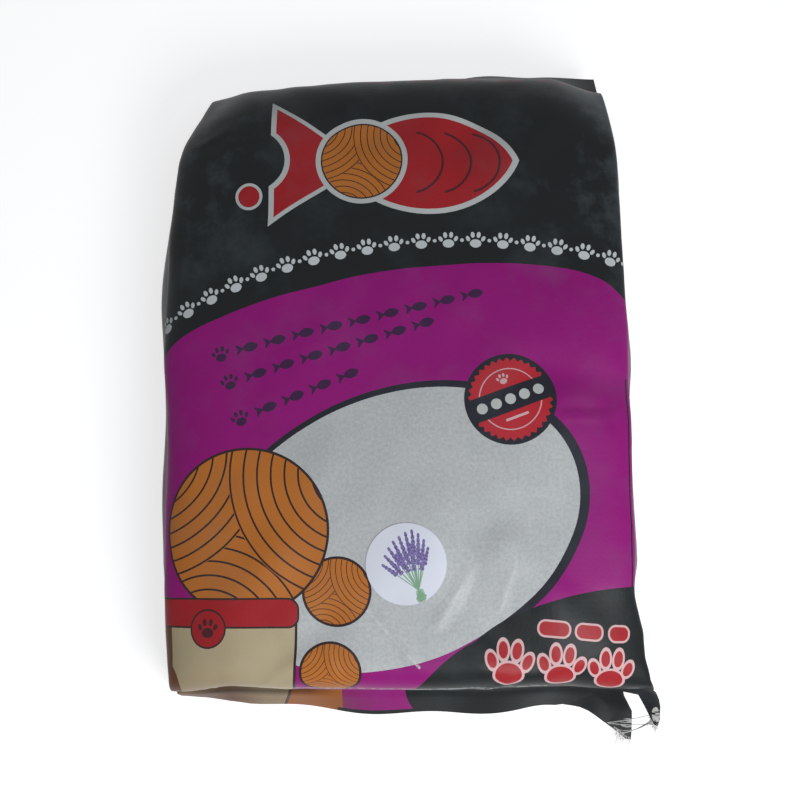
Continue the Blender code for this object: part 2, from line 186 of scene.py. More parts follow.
# Gathers at the sewn ends: how far they reach into the front, their spacing, height and seed, the least and
# the most of a gather's width, length, lean and step, how much it widens inwards, and where it sets in
GATHER_REACH = 0.085
GATHER_SPACING = 0.026
GATHER_HEIGHT = 0.0016
GATHER_SEED = 11
GATHER_WIDTHS = (0.16, 0.34)
GATHER_LENGTHS = (0.35, 1.0)
GATHER_LEANS = (-0.35, 0.35)
GATHER_STEPS = (0.5, 1.2)
GATHER_WIDENING = 1.5
GATHER_START = 0.10

# Slack in the film: the size and height of its soft hollows, and the number and spread of their waves
SLACK_WAVES = ((0.120, 0.00045), (0.055, 0.00020), (0.024, 0.00007))
SLACK_COUNT = 14
SLACK_SEED = 5
WAVE_SPREAD = (0.75, 1.35)

# Wrinkles set in at a height above the seam, and are at their full after a rise
WRINKLE_START = 0.006
WRINKLE_RISE = 0.03

# Film creases: start and end on the flat film, then width, height, and how pale a line is painted along
# them, partly wear whitening and partly painted highlight
CREASES = (
    ((-0.026, -0.212), (0.017, -0.258), 0.0046, 0.0015, 0.60),
    ((0.022, -0.232), (0.063, -0.166), 0.0046, 0.0012, 0.30),
    ((0.034, -0.228), (0.054, -0.190), 0.0040, 0.0009, 0.20),
    ((-0.046, -0.290), (-0.070, -0.228), 0.0030, 0.0007, 0.0),
    ((0.085, -0.216), (0.099, -0.172), 0.0034, 0.0008, 0.30),
    ((0.132, -0.037), (0.190, -0.038), 0.0030, -0.0014, 0.0),
    ((0.132, -0.045), (0.184, -0.044), 0.0030, -0.0010, 0.0),
    ((0.178, -0.036), (0.186, -0.062), 0.0032, -0.0010, 0.0),
    ((-0.196, -0.006), (-0.160, -0.020), 0.0030, 0.0006, 0.0),
    ((-0.200, 0.205), (-0.150, 0.225), 0.0040, 0.0009, 0.0),
    ((-0.205, 0.185), (-0.140, 0.150), 0.0050, 0.0008, 0.0),
    ((0.205, 0.150), (0.150, 0.205), 0.0055, 0.0010, 0.0),
    ((0.206, 0.120), (0.160, 0.140), 0.0045, 0.0008, 0.0),
    ((0.120, 0.262), (0.100, 0.205), 0.0045, -0.0009, 0.0),
    ((0.206, -0.030), (0.203, -0.215), 0.0034, -0.0010, 0.0),
    ((0.196, -0.230), (0.150, -0.262), 0.0045, 0.0009, 0.0),
    ((-0.120, -0.285), (-0.060, -0.240), 0.0045, 0.0008, 0.0),
    ((0.060, -0.300), (0.100, -0.262), 0.0045, 0.0009, 0.0),
)
CREASE_BEND = 0.06
CREASE_FADE = 0.25
CREASE_DENT = 0.4

# The print's colours
BLACK = (0.0060, 0.0078, 0.0088)
MAGENTA = (0.250, 0.0070, 0.158)
DARK_PURPLE = (0.040, 0.0120, 0.050)
LIGHT_FIELD = (0.470, 0.485, 0.485)
GRANULE = (0.385, 0.400, 0.412)
BORDER = (0.013, 0.013, 0.020)
RED = (0.310, 0.0150, 0.0200)
SEAL_RED = (0.410, 0.0200, 0.0300)
DARK_RED = (0.055, 0.0100, 0.0140)
OUTLINE_GREY = (0.450, 0.465, 0.460)
PALE_PINK = (0.560, 0.360, 0.370)
WHITE_INK = (0.520, 0.550, 0.560)
ORANGE = (0.430, 0.142, 0.026)
BROWN = (0.026, 0.013, 0.013)
CREAM = (0.410, 0.340, 0.215)
# EDGE_BROWN also colours the painted shade on the hem under the bottom seam
EDGE_BROWN = (0.110, 0.034, 0.011)
# Dust, partly a painted sheen on the film
DUST_AND_SHEEN = (0.100, 0.128, 0.146)
# A pale colour for the creases' wear whitening and for painted highlights
WHITENING_AND_HIGHLIGHT = (0.560, 0.570, 0.570)
TORN_WHITE = (0.420, 0.425, 0.400)

# The film's gloss, its weave's scale and share of the relief, and the relief's strength and height
FILM_GLOSS = 0.15
WEAVE_SCALE = 60.0
WEAVE_SHARE = 0.10
FILM_BUMP = (0.22, 0.0008)

# Each noise by its scale, detail and roughness
GRAIN_NOISE = (330.0, 5.0, 0.75)
BROKEN_NOISE = (260.0, 3.0, 0.7)
CLOUD_NOISE = (17.0, 6.0, 0.62)
RELIEF_NOISE = (340.0, 4.0, 0.65)
SPECKLE_NOISE = (620.0, 2.0, 0.5)
PAPER_NOISE = (260.0, 4.0, 0.5)
TWIST_NOISE = (1400.0, 2.0, 0.5)

# The span of a noise over which one colour goes over to the other, and that of the film's roughness
GRAIN_SPAN = (0.38, 0.60)
DUST_AND_SHEEN_SPAN = (0.48, 0.80)
SPECKLE_SPAN = (0.38, 0.62)
TWIST_SPAN = (0.35, 0.65)
ROUGHNESS_SPAN = (0.3, 0.75, 0.36, 0.50)

# Dust on the film, partly a painted sheen: its share, how much more lies on the upper sides, and where they
# set in and are at their full, aside from the middle line and along the film
DUST_AND_SHEEN_SHARE = 0.16
UPPER_SIDE_SHARE = 0.62
UPPER_SIDE_ASIDE = (0.09, 0.19)
UPPER_SIDE_ALONG = (0.05, 0.15)

# Levels of the broken noise above which the pale lines on the creases and over the seam show, and below
# which torn laminate is frayed
PALE_LINE_LEVEL = 0.47
FRAYED_LEVEL = 0.52

# Where the print's fields lie on the flat film
ARCH = (
    (-0.215, 0.006),
    (-0.184, 0.030),
    (-0.152, 0.044),
    (-0.112, 0.058),
    (-0.072, 0.069),
    (-0.025, 0.081),
    (0.031, 0.088),
    (0.094, 0.091),
    (0.142, 0.087),
    (0.173, 0.0785),
    (0.195, 0.064),
    (0.215, 0.042),
)
ARCH_LIMIT = 0.1
FIELD_CENTRE = (-0.0015, -0.1424)
FIELD_RADII = (0.1615, 0.1123)
FIELD_TILT = math.radians(21.5)
BORDER_CENTRE = (0.0002, -0.1424)
BORDER_RADII = (0.1684, 0.1180)
BORDER_END = -0.222
CORNER_OVALS = (((0.215, -0.300), (0.186, 0.108)), ((0.120, -0.320), (0.115, 0.095)))
PRINT_HALF_WIDTH = 0.222
FRONT_REACH = 0.260
MASK_ROUNDING = 0.001
STROKE_ROUNDING = 0.99

# A paw print in units of its width: the middle, radii and tilt of its pad and of the two toes on one side
PAW_PARTS = (
    ((0.0, -0.16), (0.27, 0.21), 0.0),
    ((0.14, 0.27), (0.095, 0.15), -0.1),
    ((0.36, 0.08), (0.09, 0.14), -0.45),
)

# A fish in units of its length: the middle and radii of one flank, the start and slope of its tail's edges,
# the end of its tail, and the middle and radius of the tail's notch
FISH_FLANK = ((0.12, -0.10), (0.36, 0.30))
FISH_FAN = (0.16, 0.72)
FISH_END = 0.5
FISH_NOTCH = (-0.60, 0.16)

# A ball of yarn in units of its radius: the direction and distance of the poles that its strands wind
# round, how far a winding reaches, the width of a strand and the half width of the dark lines
YARN_POLES = ((0.5, 1.5), (2.5, 1.6), (4.4, 1.45))
YARN_REACH = 1.55
YARN_STRAND = 0.085
YARN_LINE = 0.012

# The emblem: a fish with scales, a ball of yarn before it and a button at its tail
EMBLEM_CENTRE = (0.000, 0.188)
EMBLEM_LENGTH = 0.226
EMBLEM_EDGE = 0.0048
SCALE_PLACES = (0.010, 0.036, 0.062)
SCALE_RADIUS = 0.030
SCALE_START = 0.006
SCALE_INSET = 0.004
SCALE_HALF = 0.0011
EMBLEM_BALL = (-0.034, 0.190)
EMBLEM_BALL_RADII = (0.042, 0.036)
EMBLEM_BALL_LINE = 0.0014
BUTTON = (-0.136, 0.153)
BUTTON_RADII = (0.0125, 0.0098)

# The line of dashes along the top: its pitch, and the middle, halves and rounding of a dash
DASH_PITCH = 0.042
DASH = ((0.0, 0.286), (0.0150, 0.0042), 0.0040)

# The bowl: bars by their middle, halves and rounding, and ovals by their middle and radii
YARN_BALLS = (((-0.057, -0.263), 0.024), ((-0.052, -0.196), 0.027), ((-0.130, -0.146), 0.069))
YARN_OUTLINE = 0.0022
LOOSE_YARN = ((-0.0765, -0.350), (0.0265, 0.026), 0.004)
BOWL = ((-0.157, -0.232), (0.070, 0.190))
BOWL_TOP = -0.214
BOWL_OUTLINE = 0.0022
BOWL_SIDE_STAIN = ((-0.2070, -0.250), (0.0090, 0.050), 0.004)
BOWL_FOOT_STAIN = ((-0.2045, -0.290), (0.0150, 0.034))
RIM = ((-0.157, -0.2140), (0.0720, 0.0110), 0.0080)
RIM_OUTLINE = 0.0016
TAG = (-0.161, -0.2270)
TAG_RADII = (0.0165, 0.0150)
TAG_PAW_SIZE = 0.0200

# The paw prints and bars in the dark corner, which slant down to the right
CORNER_PAWS = ((0.092, -0.2580), (0.136, -0.2620), (0.179, -0.2660))
CORNER_PAW_SIZE = 0.042
CORNER_STRETCH = 1.12
CORNER_SLANT = math.radians(-5.0)
CORNER_BARS = (((0.130, -0.2275), 0.0125), ((0.160, -0.2300), 0.0110), ((0.187, -0.2325), 0.0085))
CORNER_BAR_HALF = 0.0058
CORNER_BAR_ROUNDING = 0.9
CORNER_EDGE = 0.0018

# Black along the bottom hem's raw edge, on all its plies: where it starts across, and its width as a share
# of the hem
UNDER_EDGE = (-0.055, 0.15)

# The torn corner's pale marks in plan: the start and end of each line, and the middle, radii and tilt in
# degrees of each frayed patch
TORN_LINES = (
    ((0.2138, -0.2933), (0.2265, -0.3004)),
    ((0.1827, -0.3129), (0.2001, -0.3181)),
    ((0.2001, -0.3181), (0.2111, -0.3170)),
)
TORN_LINE_HALF = 0.0006
TORN_PATCHES = (
    ((0.2251, -0.3075), (0.0036, 0.0075), 8.0),
    ((0.2065, -0.3172), (0.0070, 0.0040), 0.0),
)

# Painted shade in the fold under the seam and on the hem below it: the share of a stretch that is at its
# full, then the middle, the reach across and along, the darkness and the colour of each stretch
SHADE_CORE = 0.6
FOLD_SHADE = (
    ((-0.190, -0.3450), (0.070, 0.090), 0.95, EDGE_BROWN),
    ((-0.105, -0.3450), (0.085, 0.060), 0.50, EDGE_BROWN),
    ((-0.120, -0.3290), (0.070, 0.010), 0.70, BLACK),
    ((0.125, -0.3315), (0.120, 0.015), 0.90, BLACK),
)

# The pale lines on the creases, partly wear whitening and partly painted highlight, by their half width, and
# the painted highlight over the bottom seam by its start, end, half width and how white it is
CREASE_LINE_HALF = 0.0011
SEAM_HIGHLIGHT = ((-0.135, -0.2865), (0.124, -0.2860), 0.0020, 0.45)

# The painted shade along the line where the film is folded sharply along the right edge: its start, end and
# half width
SHARP_FOLD_SHADE = ((0.2002, -0.0145), (0.1987, -0.2036), 0.0008)

# The seal: its dark disc, teeth, ring, slanting band with a row of dots, paw print and dash
SEAL_CENTRE = (0.0964, -0.0330)
SEAL_TILT = math.radians(20.0)
SEAL_RADIUS = 0.0400
SEAL_TEETH = 34
TOOTH_SLOPE = 0.034
TOOTH_TIPS = 0.0368
RING_RADIUS = 0.0268
RING_HALF = 0.0005
BAND_HALVES = (0.0385, 0.0105)
DOT_RADIUS = 0.0047
DOT_PITCH = 0.0130
DOT_ROW_HALVES = (0.0325, 0.008)
SEAL_PAW = (0.0, 0.0185)
SEAL_PAW_SIZE = 0.0120
SEAL_DASH = ((0.0, -0.0165), (0.0105, 0.0011))

# The arched row of paw prints: the middle and radius of its circle, and the pitch of the prints
ROW_CENTRE = (0.0567, -0.396)
ROW_RADIUS = 0.509
ROW_PITCH = 0.0245
ROW_PAW_SIZE = 0.0190
ROW_DOT_RADIUS = 0.0017

# The three rows of small fish: first paw print, tilt in degrees, and number of fish
FISH_ROWS = (
    ((-0.157, 0.008), 13.6, 9),
    ((-0.148, -0.017), 17.0, 7),
    ((-0.1375, -0.0494), 22.2, 4),
)
FISH_PITCH = 0.0255
FISH_START = 0.012
FISH_LENGTH = 0.0205
FISH_PAW_SIZE = 0.0175

# The round label
LABEL_CENTRE = (0.0025, -0.1739)
LABEL_RADIUS = 0.034
LABEL_THICKNESS = 0.0003
LABEL_LIFT = 0.0003
LABEL_RINGS = 14
LABEL_SIDES = 72
LABEL_SHARP_ANGLE = math.radians(50)
LABEL_ROUGHNESS = 0.38
LABEL_BUMP = (0.12, 0.0003)
LABEL_WHITE = (0.590, 0.610, 0.690)
LAVENDER = ((0.045, 0.028, 0.120), (0.200, 0.150, 0.390))
STEM_GREEN = (0.130, 0.270, 0.150)

# The lavender on the label, from the label's middle: where its stems meet, and the tips of its sprigs
SPRIG_FOOT = (0.0105, -0.0215)
SPRIG_TIPS = (
    (-0.0205, -0.0005),
    (-0.0185, 0.0070),
    (-0.0155, 0.0135),
    (-0.0115, 0.0190),
    (-0.0065, 0.0230),
    (-0.0010, 0.0265),
    (0.0045, 0.0285),
    (0.0100, 0.0255),
    (0.0150, 0.0205),
    (0.0185, 0.0140),
    (-0.0130, 0.0010),
    (-0.0085, 0.0085),
    (-0.0025, 0.0145),
    (0.0040, 0.0170),
    (0.0100, 0.0140),
    (0.0145, 0.0065),
    (-0.0035, 0.0040),
    (0.0045, 0.0060),
)
SPRIG_FLORETS = 5
SPRIG_WIDTH = 0.0024

# A sprig: its stem's middle and half length and its flower head's length as shares of its own, the stem's
# half width and rounding, how narrow the head is at its tip, the share of its pitch that a floret fills, and
# the bounds of the head
STEM_MIDDLE = 0.20
STEM_HALF = 0.42
HEAD_SHARE = 0.42
STEM_HALF_WIDTH = 0.00040
STEM_ROUNDING = 0.00035
HEAD_TAPER = 0.45
FLORET_SHARE = 0.62
HEAD_HALF_WIDTH = 0.006
HEAD_ROUNDING = 0.0005

# The knot of stems below the bunch, and the spacing of its streaks and where they start
KNOT = ((0.0125, -0.0255), (0.0034, 0.0050), 0.0018, math.radians(22.0))
KNOT_STREAK = 0.0005
KNOT_STREAK_START = 0.00038

# The stitches, which lie under the fill's overhang
STITCH_PITCH = 0.010
STITCH_SET = 0.0025
STITCH_LENGTH = 0.0082
STITCH_WIDTH = 0.0017
STITCH_TAPER = 0.35
STITCH_SLANT = 0.25
THREAD_RADIUS = 0.00045
THREAD_SIDES = 6
THREAD_CLEARANCE = 1.15
THREAD_SHARP_ANGLE = math.radians(80)
THREAD_SHADES = ((0.50, 0.50, 0.48), (0.74, 0.74, 0.71))
THREAD_ROUGHNESS = 0.85
THREAD_BUMP = (0.5, 0.0002)
LOOP_POINTS = 14
TUBE_ASIDE = (0.31, 0.22, 0.92)

# Share of the half width beyond which the bottom seam has come undone, at the torn corner
TORN_SEAM_START = 0.78

# Fibres at the torn corner: their number on the front plies and on the back ones, the share of the half
# width where they start, that of the hem's length where they are rooted, and how far they lean and curl
FIBRE_COUNT = 46
FIBRE_SPANS = ((1.0, 0.965), (0.0, 0.93))
FIBRE_ROOT = 0.93
FIBRE_LEAN = 0.6
FIBRE_CURL = 0.5
FIBRE_REACH = (0.0025, 0.0075)
FIBRE_RADIUS = 0.00022
FIBRE_SIDES = 4
FIBRE_POINTS = 7
FIBRE_SEED = 3

# Strands that still join the two torn ends, from the back plies to the front ones
STRAND_COUNT = 5
STRAND_SPANS = ((0.86, 0.99), (0.96, 1.0))
STRAND_ROOT = 0.95
STRAND_RADIUS = 1.5 * FIBRE_RADIUS
STRAND_SLACK = 0.004

# The camera: its tilt from straight down, its distance from the middle of the front, and where that middle
# is in the frame of 800 pixels
CAMERA_TILT = math.radians(12.0)
CAMERA_DISTANCE = 0.926
CAMERA_FOCAL_PIXELS = 1060.0
CAMERA_AIM = (-0.0035, -0.0059, FILL_DEPTH - 0.004)
AIM_PIXEL = (399.0, 368.5)
FRAME_PIXELS = 800.0
SENSOR_WIDTH = 36.0

# The floor and the lights
FLOOR_SIZE = 12.0
FLOOR_COLOUR = (0.50, 0.50, 0.50)
FLOOR_ROUGHNESS = 0.9
FLOOR_GLOW = 0.70
WORLD_STRENGTH = 0.22
WORLD_WHITE = 1.0
LAMP_PLACE = (0.48, -0.74, 0.90)
LAMP_SIZE = (0.6, 0.45)
LAMP_POWER = 10.3
WINDOW_PLACE = (0.60, -0.46, 2.10)
WINDOW_SIZE = (0.9, 0.7)
WINDOW_POWER = 6.8
WINDOW_COLOUR = (0.72, 0.87, 1.00)


def smooth(share):
    """Eases from 0 to 1."""
    share = np.clip(share, 0.0, 1.0)
    return share * share * (3.0 - 2.0 * share)


def between(value, marks):
    """A value read off a line through marks, with the line's corners rounded."""
    shifts = np.linspace(-MARK_BLUR, MARK_BLUR, MARK_SAMPLES)
    return sum(np.interp(np.asarray(value) + shift, *zip(*marks)) for shift in shifts) / len(shifts)


# The shape of the sack, as in the CAD model


def half_length():
    """Half the length of the sack between its seams."""
    return SEAM_SPACING / 2


def end_shoulder(run, roundness, overhang, end):
    """One end of a panel's side outline, from the seam to the level part: places along Y and openness."""
    angle = np.linspace(0.0, math.pi / 2, OUTLINE_SAMPLES)
    open_share = np.sin(angle) ** (2 / roundness)
    inward = run * (1.0 - np.cos(angle) ** (2 / roundness))
    pinch = overhang * (1.0 - open_share) ** 3
    return end * (half_length() + overhang - pinch - inward), open_share


def side_outline(depth, bottom, top, overhang):
    """Places along Y and openness of one panel from seam to seam. Each end is its run and its roundness."""
    bottom_y, bottom_open = end_shoulder(*bottom, overhang, -1)
    top_y, top_open = end_shoulder(*top, overhang, 1)
    along = np.concatenate([bottom_y, top_y[::-1]])
    open_share = np.concatenate([bottom_open, top_open[::-1]])
    steps = np.hypot(np.diff(along), depth * np.diff(open_share))
    run = np.concatenate([[0.0], np.cumsum(steps)])
    share = np.linspace(0.0, 1.0, BODY_SEGMENTS + 1)
    crowded = (share - END_CROWDING * np.sin(2 * math.pi * share)) * run[-1]
    return np.interp(crowded, run, along), np.interp(crowded, run, open_share)


def seam_half_width():
    """Half the width of the sack along its seams."""
    return FACE_WIDTH / 2 - END_NARROWING


def half_width(across, along):
    """Distance of a fold from the middle line, on a point's side and at a place along the sack."""
    end_share = smooth((np.abs(along) - half_length() + GUSSET_RUN) / GUSSET_RUN)
    left, right = (between(along / half_length(), bow) for bow in (LEFT_BOW, RIGHT_BOW))
    return FACE_WIDTH / 2 - END_NARROWING * end_share + np.where(across < 0, left, right)


def edge_of(across):
    """Height share and squareness of the front panel's edge on the side where a point lies."""
    right = across >= 0
    return np.where(right, RIGHT_EDGE[0], LEFT_EDGE[0]), np.where(right, RIGHT_EDGE[1], LEFT_EDGE[1])


def front_folds(across, along):
    """Height of the front panel's broad folds, at shares of its half width and half length."""
    height = np.zeros(np.broadcast(across, along).shape)
    for start, end, width, rise in FRONT_FOLDS:
        run = np.subtract(end, start) * (FACE_WIDTH / 2, half_length())
        length = math.hypot(*run)
        away = (across - start[0]) * FACE_WIDTH / 2, (along - start[1]) * half_length()
        down = (away[0] * run[0] + away[1] * run[1]) / length
        aside = (away[0] * run[1] - away[1] * run[0]) / length
        beyond = np.maximum(0.0, np.maximum(-down, down - length))
        height += rise * np.exp(-(aside**2 + beyond**2) / width**2)
    return height


def corner_drop(across, along):
    """Share of the front panel's height that is lost towards its corners."""
    lost = 0.0
    for (side, end), drop in CORNER_DROP.items():
        outward = smooth((side * across - 1.0 + CORNER_SHARE) / CORNER_SHARE)
        endward = smooth(1.0 - (half_length() - end * along) / CORNER_RUN)
        lost = lost + drop * outward * endward
    return lost


def front_height(across, along, open_share):
    """Height of the front panel above the seams' level."""
    fold_share, squareness = edge_of(across)
    crown = 1.0 - np.minimum(np.abs(across), 1.0) ** squareness
    section = fold_share + (1.0 - fold_share) * crown ** (1 / EDGE_ROUNDNESS)
    along_share = along / half_length()
    depth = FILL_DEPTH - SEAM_HEIGHT - HEM_THICKNESS / 2 - CROWN_FALL * along_share**2
    raised = depth * section + front_folds(across, along_share)
    return open_share * raised * (1.0 - corner_drop(across, along))


def back_depth(across, open_share):
    """Depth of the back panel below the seams' level."""
    edge = np.clip((np.abs(across) - FLAT_SHARE) / (1.0 - FLAT_SHARE), 0.0, 1.0)
    section = BACK_EDGE + (1.0 - BACK_EDGE) * np.sqrt(1.0 - edge**2)
    return open_share * (SEAM_HEIGHT - HEM_THICKNESS / 2) * section


def bowed(across, along):
    """A place along Y after the seams' outward bow, and with the top seam drawn askew."""
    skew = TOP_SKEW * across * smooth(along / half_length())
    return along * (1.0 + SEAM_BOW * (1.0 - across**2) / half_length()) + skew


def with_ears(points, front_share, down=0.0):
    """Points with the corners drawn out of line. front_share is 1 on front plies and 0 on back ones."""
    crease = seam_half_width() - GUSSET_TUCK
    raised = np.clip(points[..., 2] / SEAM_HEIGHT, 0.0, 1.0)
    moved = points.copy()
    for (side, end), (front, back) in EARS.items():
        outward = smooth((side * points[..., 0] - crease) / GUSSET_TUCK)
        endward = smooth(1.0 - (half_length() - end * points[..., 1]) / EAR_REACH)
        drawn = [back[at] + (front[at] - back[at]) * front_share for at in range(len(front))]
        splayed = drawn[0] + drawn[3] * down / HEM_LENGTH
        for axis, move in enumerate((side * splayed, end * drawn[1], raised * drawn[2])):
            moved[..., axis] += outward * endward * move
    return moved


def fold_shares():
    """Where points lie from a fold (1) to the crease of the gusset (0), closer together at the fold."""
    share = np.linspace(0.0, 1.0, FOLD_SEGMENTS + 1)
    return 1.0 - share**FOLD_CROWDING


def across_shares():
    """Shares of the half width where the front and back panels have points, left to right."""
    crease_share = 1.0 - GUSSET_TUCK / seam_half_width()
    tucked = crease_share + (1.0 - crease_share) * fold_shares()
    centre = np.linspace(-crease_share, crease_share, CENTRE_SEGMENTS + 1)[1:-1]
    return np.concatenate([-tucked, centre, tucked[::-1]])


def front_outline(overhang):
    """Side outline of the front panel, with its shoulders hanging over the seams by an overhang."""
    bottom = (BOTTOM_SHOULDER, BOTTOM_ROUNDNESS)
    return side_outline(FILL_DEPTH - SEAM_HEIGHT, bottom, (TOP_SHOULDER, TOP_ROUNDNESS), overhang)


def back_outline():
    """Side outline of the back panel."""
    end = (BACK_SHOULDER, BACK_ROUNDNESS)
    return side_outline(SEAM_HEIGHT, end, end, 0.0)


def panel_loops():
    """Points of the body's front and back panels, one row for each station from seam to seam."""
    across = across_shares()[None, :]
    front_y, front_open = front_outline(SHOULDER_OVERHANG)
    back_y, back_open = back_outline()
    loops = []
    for along, open_share, front in ((front_y, front_open, True), (back_y, back_open, False)):
        y = bowed(across, along[:, None])
        x = across * half_width(across, along[:, None])
        if front:
            rise = front_height(across, along[:, None], open_share[:, None])
            z = SEAM_HEIGHT + HEM_THICKNESS / 2 + rise
        else:
            z = SEAM_HEIGHT - HEM_THICKNESS / 2 - back_depth(across, open_share[:, None])
        loops.append(with_ears(np.stack(np.broadcast_arrays(x, y, z), axis=-1), float(front)))
    return loops


def gusset_loops(side):
    """Points of one side gusset's two leaves, from the front fold to the crease and on to the back fold."""
    share = fold_shares()[None, :]
    front_y, front_open = (column[:, None] for column in front_outline(SHOULDER_OVERHANG))
    back_y, back_open = (column[:, None] for column in back_outline())
    middle_y = (front_outline(0.0)[0][:, None] + back_y) / 2
    tuck = 1.0 - smooth((half_length() - np.abs(middle_y)) / GUSSET_RUN)
    wave = SIDE_WAVE * np.sin(SIDE_WAVES * math.pi * middle_y / half_length() + side)
    bulge = (1.0 - tuck) * (SIDE_BULGE + wave) * (1.0 - share**2)
    x = side * (half_width(side, middle_y) + bulge - tuck * GUSSET_TUCK * (1.0 - share))
    fold_round = FOLD_RADIUS * front_open**2
    front_rise = (front_height(float(side), front_y, front_open) - fold_round) * share
    back_fall = (back_depth(1.0, back_open) - FOLD_RADIUS * back_open**2) * share
    leaves = []
    for panel_y, z, layer in (
        (front_y, SEAM_HEIGHT + PLY_GAP / 2 + front_rise, 1.0),
        (back_y, SEAM_HEIGHT - PLY_GAP / 2 - back_fall, 0.0),
    ):
        leaf_y = (middle_y + (panel_y - middle_y) * share) * (1.0 - HEM_THICKNESS / half_length())
        y = bowed(x / half_width(side, middle_y), leaf_y)
        points = np.stack(np.broadcast_arrays(x, y, z), axis=-1)
        leaves.append(with_ears(points, layer + (0.5 - layer) * (1.0 - tuck) * (1.0 - share)))
    return leaves[0], leaves[1][:, ::-1]


def hem_angle(end, across):
    """How far the hem hangs from level, in radians, at a share of the half width."""
    hang = between(across, BOTTOM_HANG if end < 0 else TOP_HANG)
    return np.radians(hang + HEM_WAVE * np.sin(HEM_WAVES * math.pi * across))


def hem_missing(end, across, front_share):
    """Share of a hem's length that is missing at a share of the half width."""
    crease_share = 1.0 - GUSSET_TUCK / seam_half_width()
    missing = 0.0
    for side in (-1, 1):
        front, back = EARS[side, end]
        outward = smooth((side * across - crease_share) / (1.0 - crease_share))
        share = back[4] + (front[4] - back[4]) * front_share
        missing = missing + share * 4.0 * outward * (1.0 - outward)
    return missing


def hem_points(end, across, full_down, lift, front_share):
    """Points of a hem: down from its seam, and lifted off its middle along its own normal."""
    down = full_down * (1.0 - hem_missing(end, across, front_share))
    hang = hem_angle(end, across)
    curled = np.minimum(down / CURL_LENGTH, 1.0)
    straight = np.maximum(down - CURL_LENGTH, 0.0)
    forward = CURL_LENGTH / hang * np.sin(hang * curled) + straight * np.cos(hang)
    fall = CURL_LENGTH / hang * (1.0 - np.cos(hang * curled)) + straight * np.sin(hang)
    y = bowed(across, end * half_length()) + end * (forward + lift * np.sin(hang * curled))
    z = SEAM_HEIGHT - fall + lift * np.cos(hang * curled)
    points = np.stack(np.broadcast_arrays(across * seam_half_width(), y, z), axis=-1)
    return with_ears(points, front_share, down)


def hem_stations():
    """Distances down a hem from its seam where it has rings."""
    marks = (0.0, CURL_LENGTH, HEM_LENGTH)
    pairs = zip(marks[:-1], marks[1:])
    return np.concatenate([np.linspace(start, stop, HEM_SEGMENTS + 1)[1:] for start, stop in pairs])


def hem_loops(end):
    """One hem's rings, with their points in the same order as the body's, from the seam outwards."""
    crease_share = 1.0 - GUSSET_TUCK / seam_half_width()
    panel = across_shares()
    leaf = crease_share + (1.0 - crease_share) * fold_shares()
    outer, inner = HEM_THICKNESS / 2, PLY_GAP / 2
    rings = []
    for down in hem_stations():
        rings.append(
            np.concatenate(
                [
                    hem_points(end, panel, down, outer, 1.0),
                    hem_points(end, leaf, down, inner, 1.0),
                    hem_points(end, leaf[::-1], down, -inner, 0.0),
                    hem_points(end, panel[::-1], down, -outer, 0.0),
                    hem_points(end, -leaf, down, -inner, 0.0),
                    hem_points(end, -leaf[::-1], down, inner, 1.0),
                ]
            )
        )
    return rings


def sack_rings():
    """Every ring of the sack as one array, from the bottom hem's raw edge to the top hem's."""
    front, back = panel_loops()
    right_front, right_back = gusset_loops(1)
    left_front, left_back = gusset_loops(-1)
    body = [
        np.concatenate(parts)
        for parts in zip(
            front, right_front, right_back, back[:, ::-1], left_back[:, ::-1], left_front[:, ::-1]
        )
    ]
    return np.array(hem_loops(-1)[::-1] + body + hem_loops(1))


def raw_edge_faces(panel_count):
    """Faces of a hem's raw edge as places in a ring: two plies at each gusset, one body between them."""
    leaf = FOLD_SEGMENTS + 1
    front = list(range(panel_count))
    right_front = list(range(panel_count, panel_count + leaf))
    right_back = list(range(panel_count + leaf, panel_count + 2 * leaf))
    first_back = panel_count + 2 * leaf
    back = list(range(first_back, first_back + panel_count))[::-1]
    first_left = first_back + panel_count
    left_back = list(range(first_left, first_left + leaf))
    left_front = list(range(first_left + leaf, first_left + 2 * leaf))
    right_panel, left_panel = front[-leaf:][::-1], front[:leaf]
    right_under, left_under = back[-leaf:][::-1], back[:leaf]
    faces = []
    for panel, ply in (
        (right_panel, right_front),
        (right_under, right_back[::-1]),
        (left_panel, left_front[::-1]),
        (left_under, left_back),
    ):
        faces += [(panel[i], panel[i + 1], ply[i + 1], ply[i]) for i in range(leaf - 1)]
    centre_front, centre_back = front[leaf - 1 : 1 - leaf], back[leaf - 1 : 1 - leaf]
    for i in range(1, len(centre_front) - 2):
        faces.append((centre_front[i], centre_front[i + 1], centre_back[i + 1], centre_back[i]))
    for above, below, ply_front, ply_back in (
        (centre_front[:2], centre_back[:2], left_front[0], left_back[-1]),
        (centre_front[:-3:-1], centre_back[:-3:-1], right_front[-1], right_back[0]),
    ):
        front_at, front_next = above
        back_at, back_next = below
        faces.append((front_at, front_next, ply_front))
        faces.append((ply_front, front_next, back_next, ply_back))
        faces.append((ply_back, back_next, back_at))
    return faces


def frame_shift(rings):
    """How far the rings move to lie where the frame has the CAD sack."""
    low, high = (np.array(corner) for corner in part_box("sack"))
    points = rings.reshape(-1, 3)
    shift = (low + high) / 2 - (points.min(axis=0) + points.max(axis=0)) / 2
    return np.array((shift[0], shift[1], 0.0))


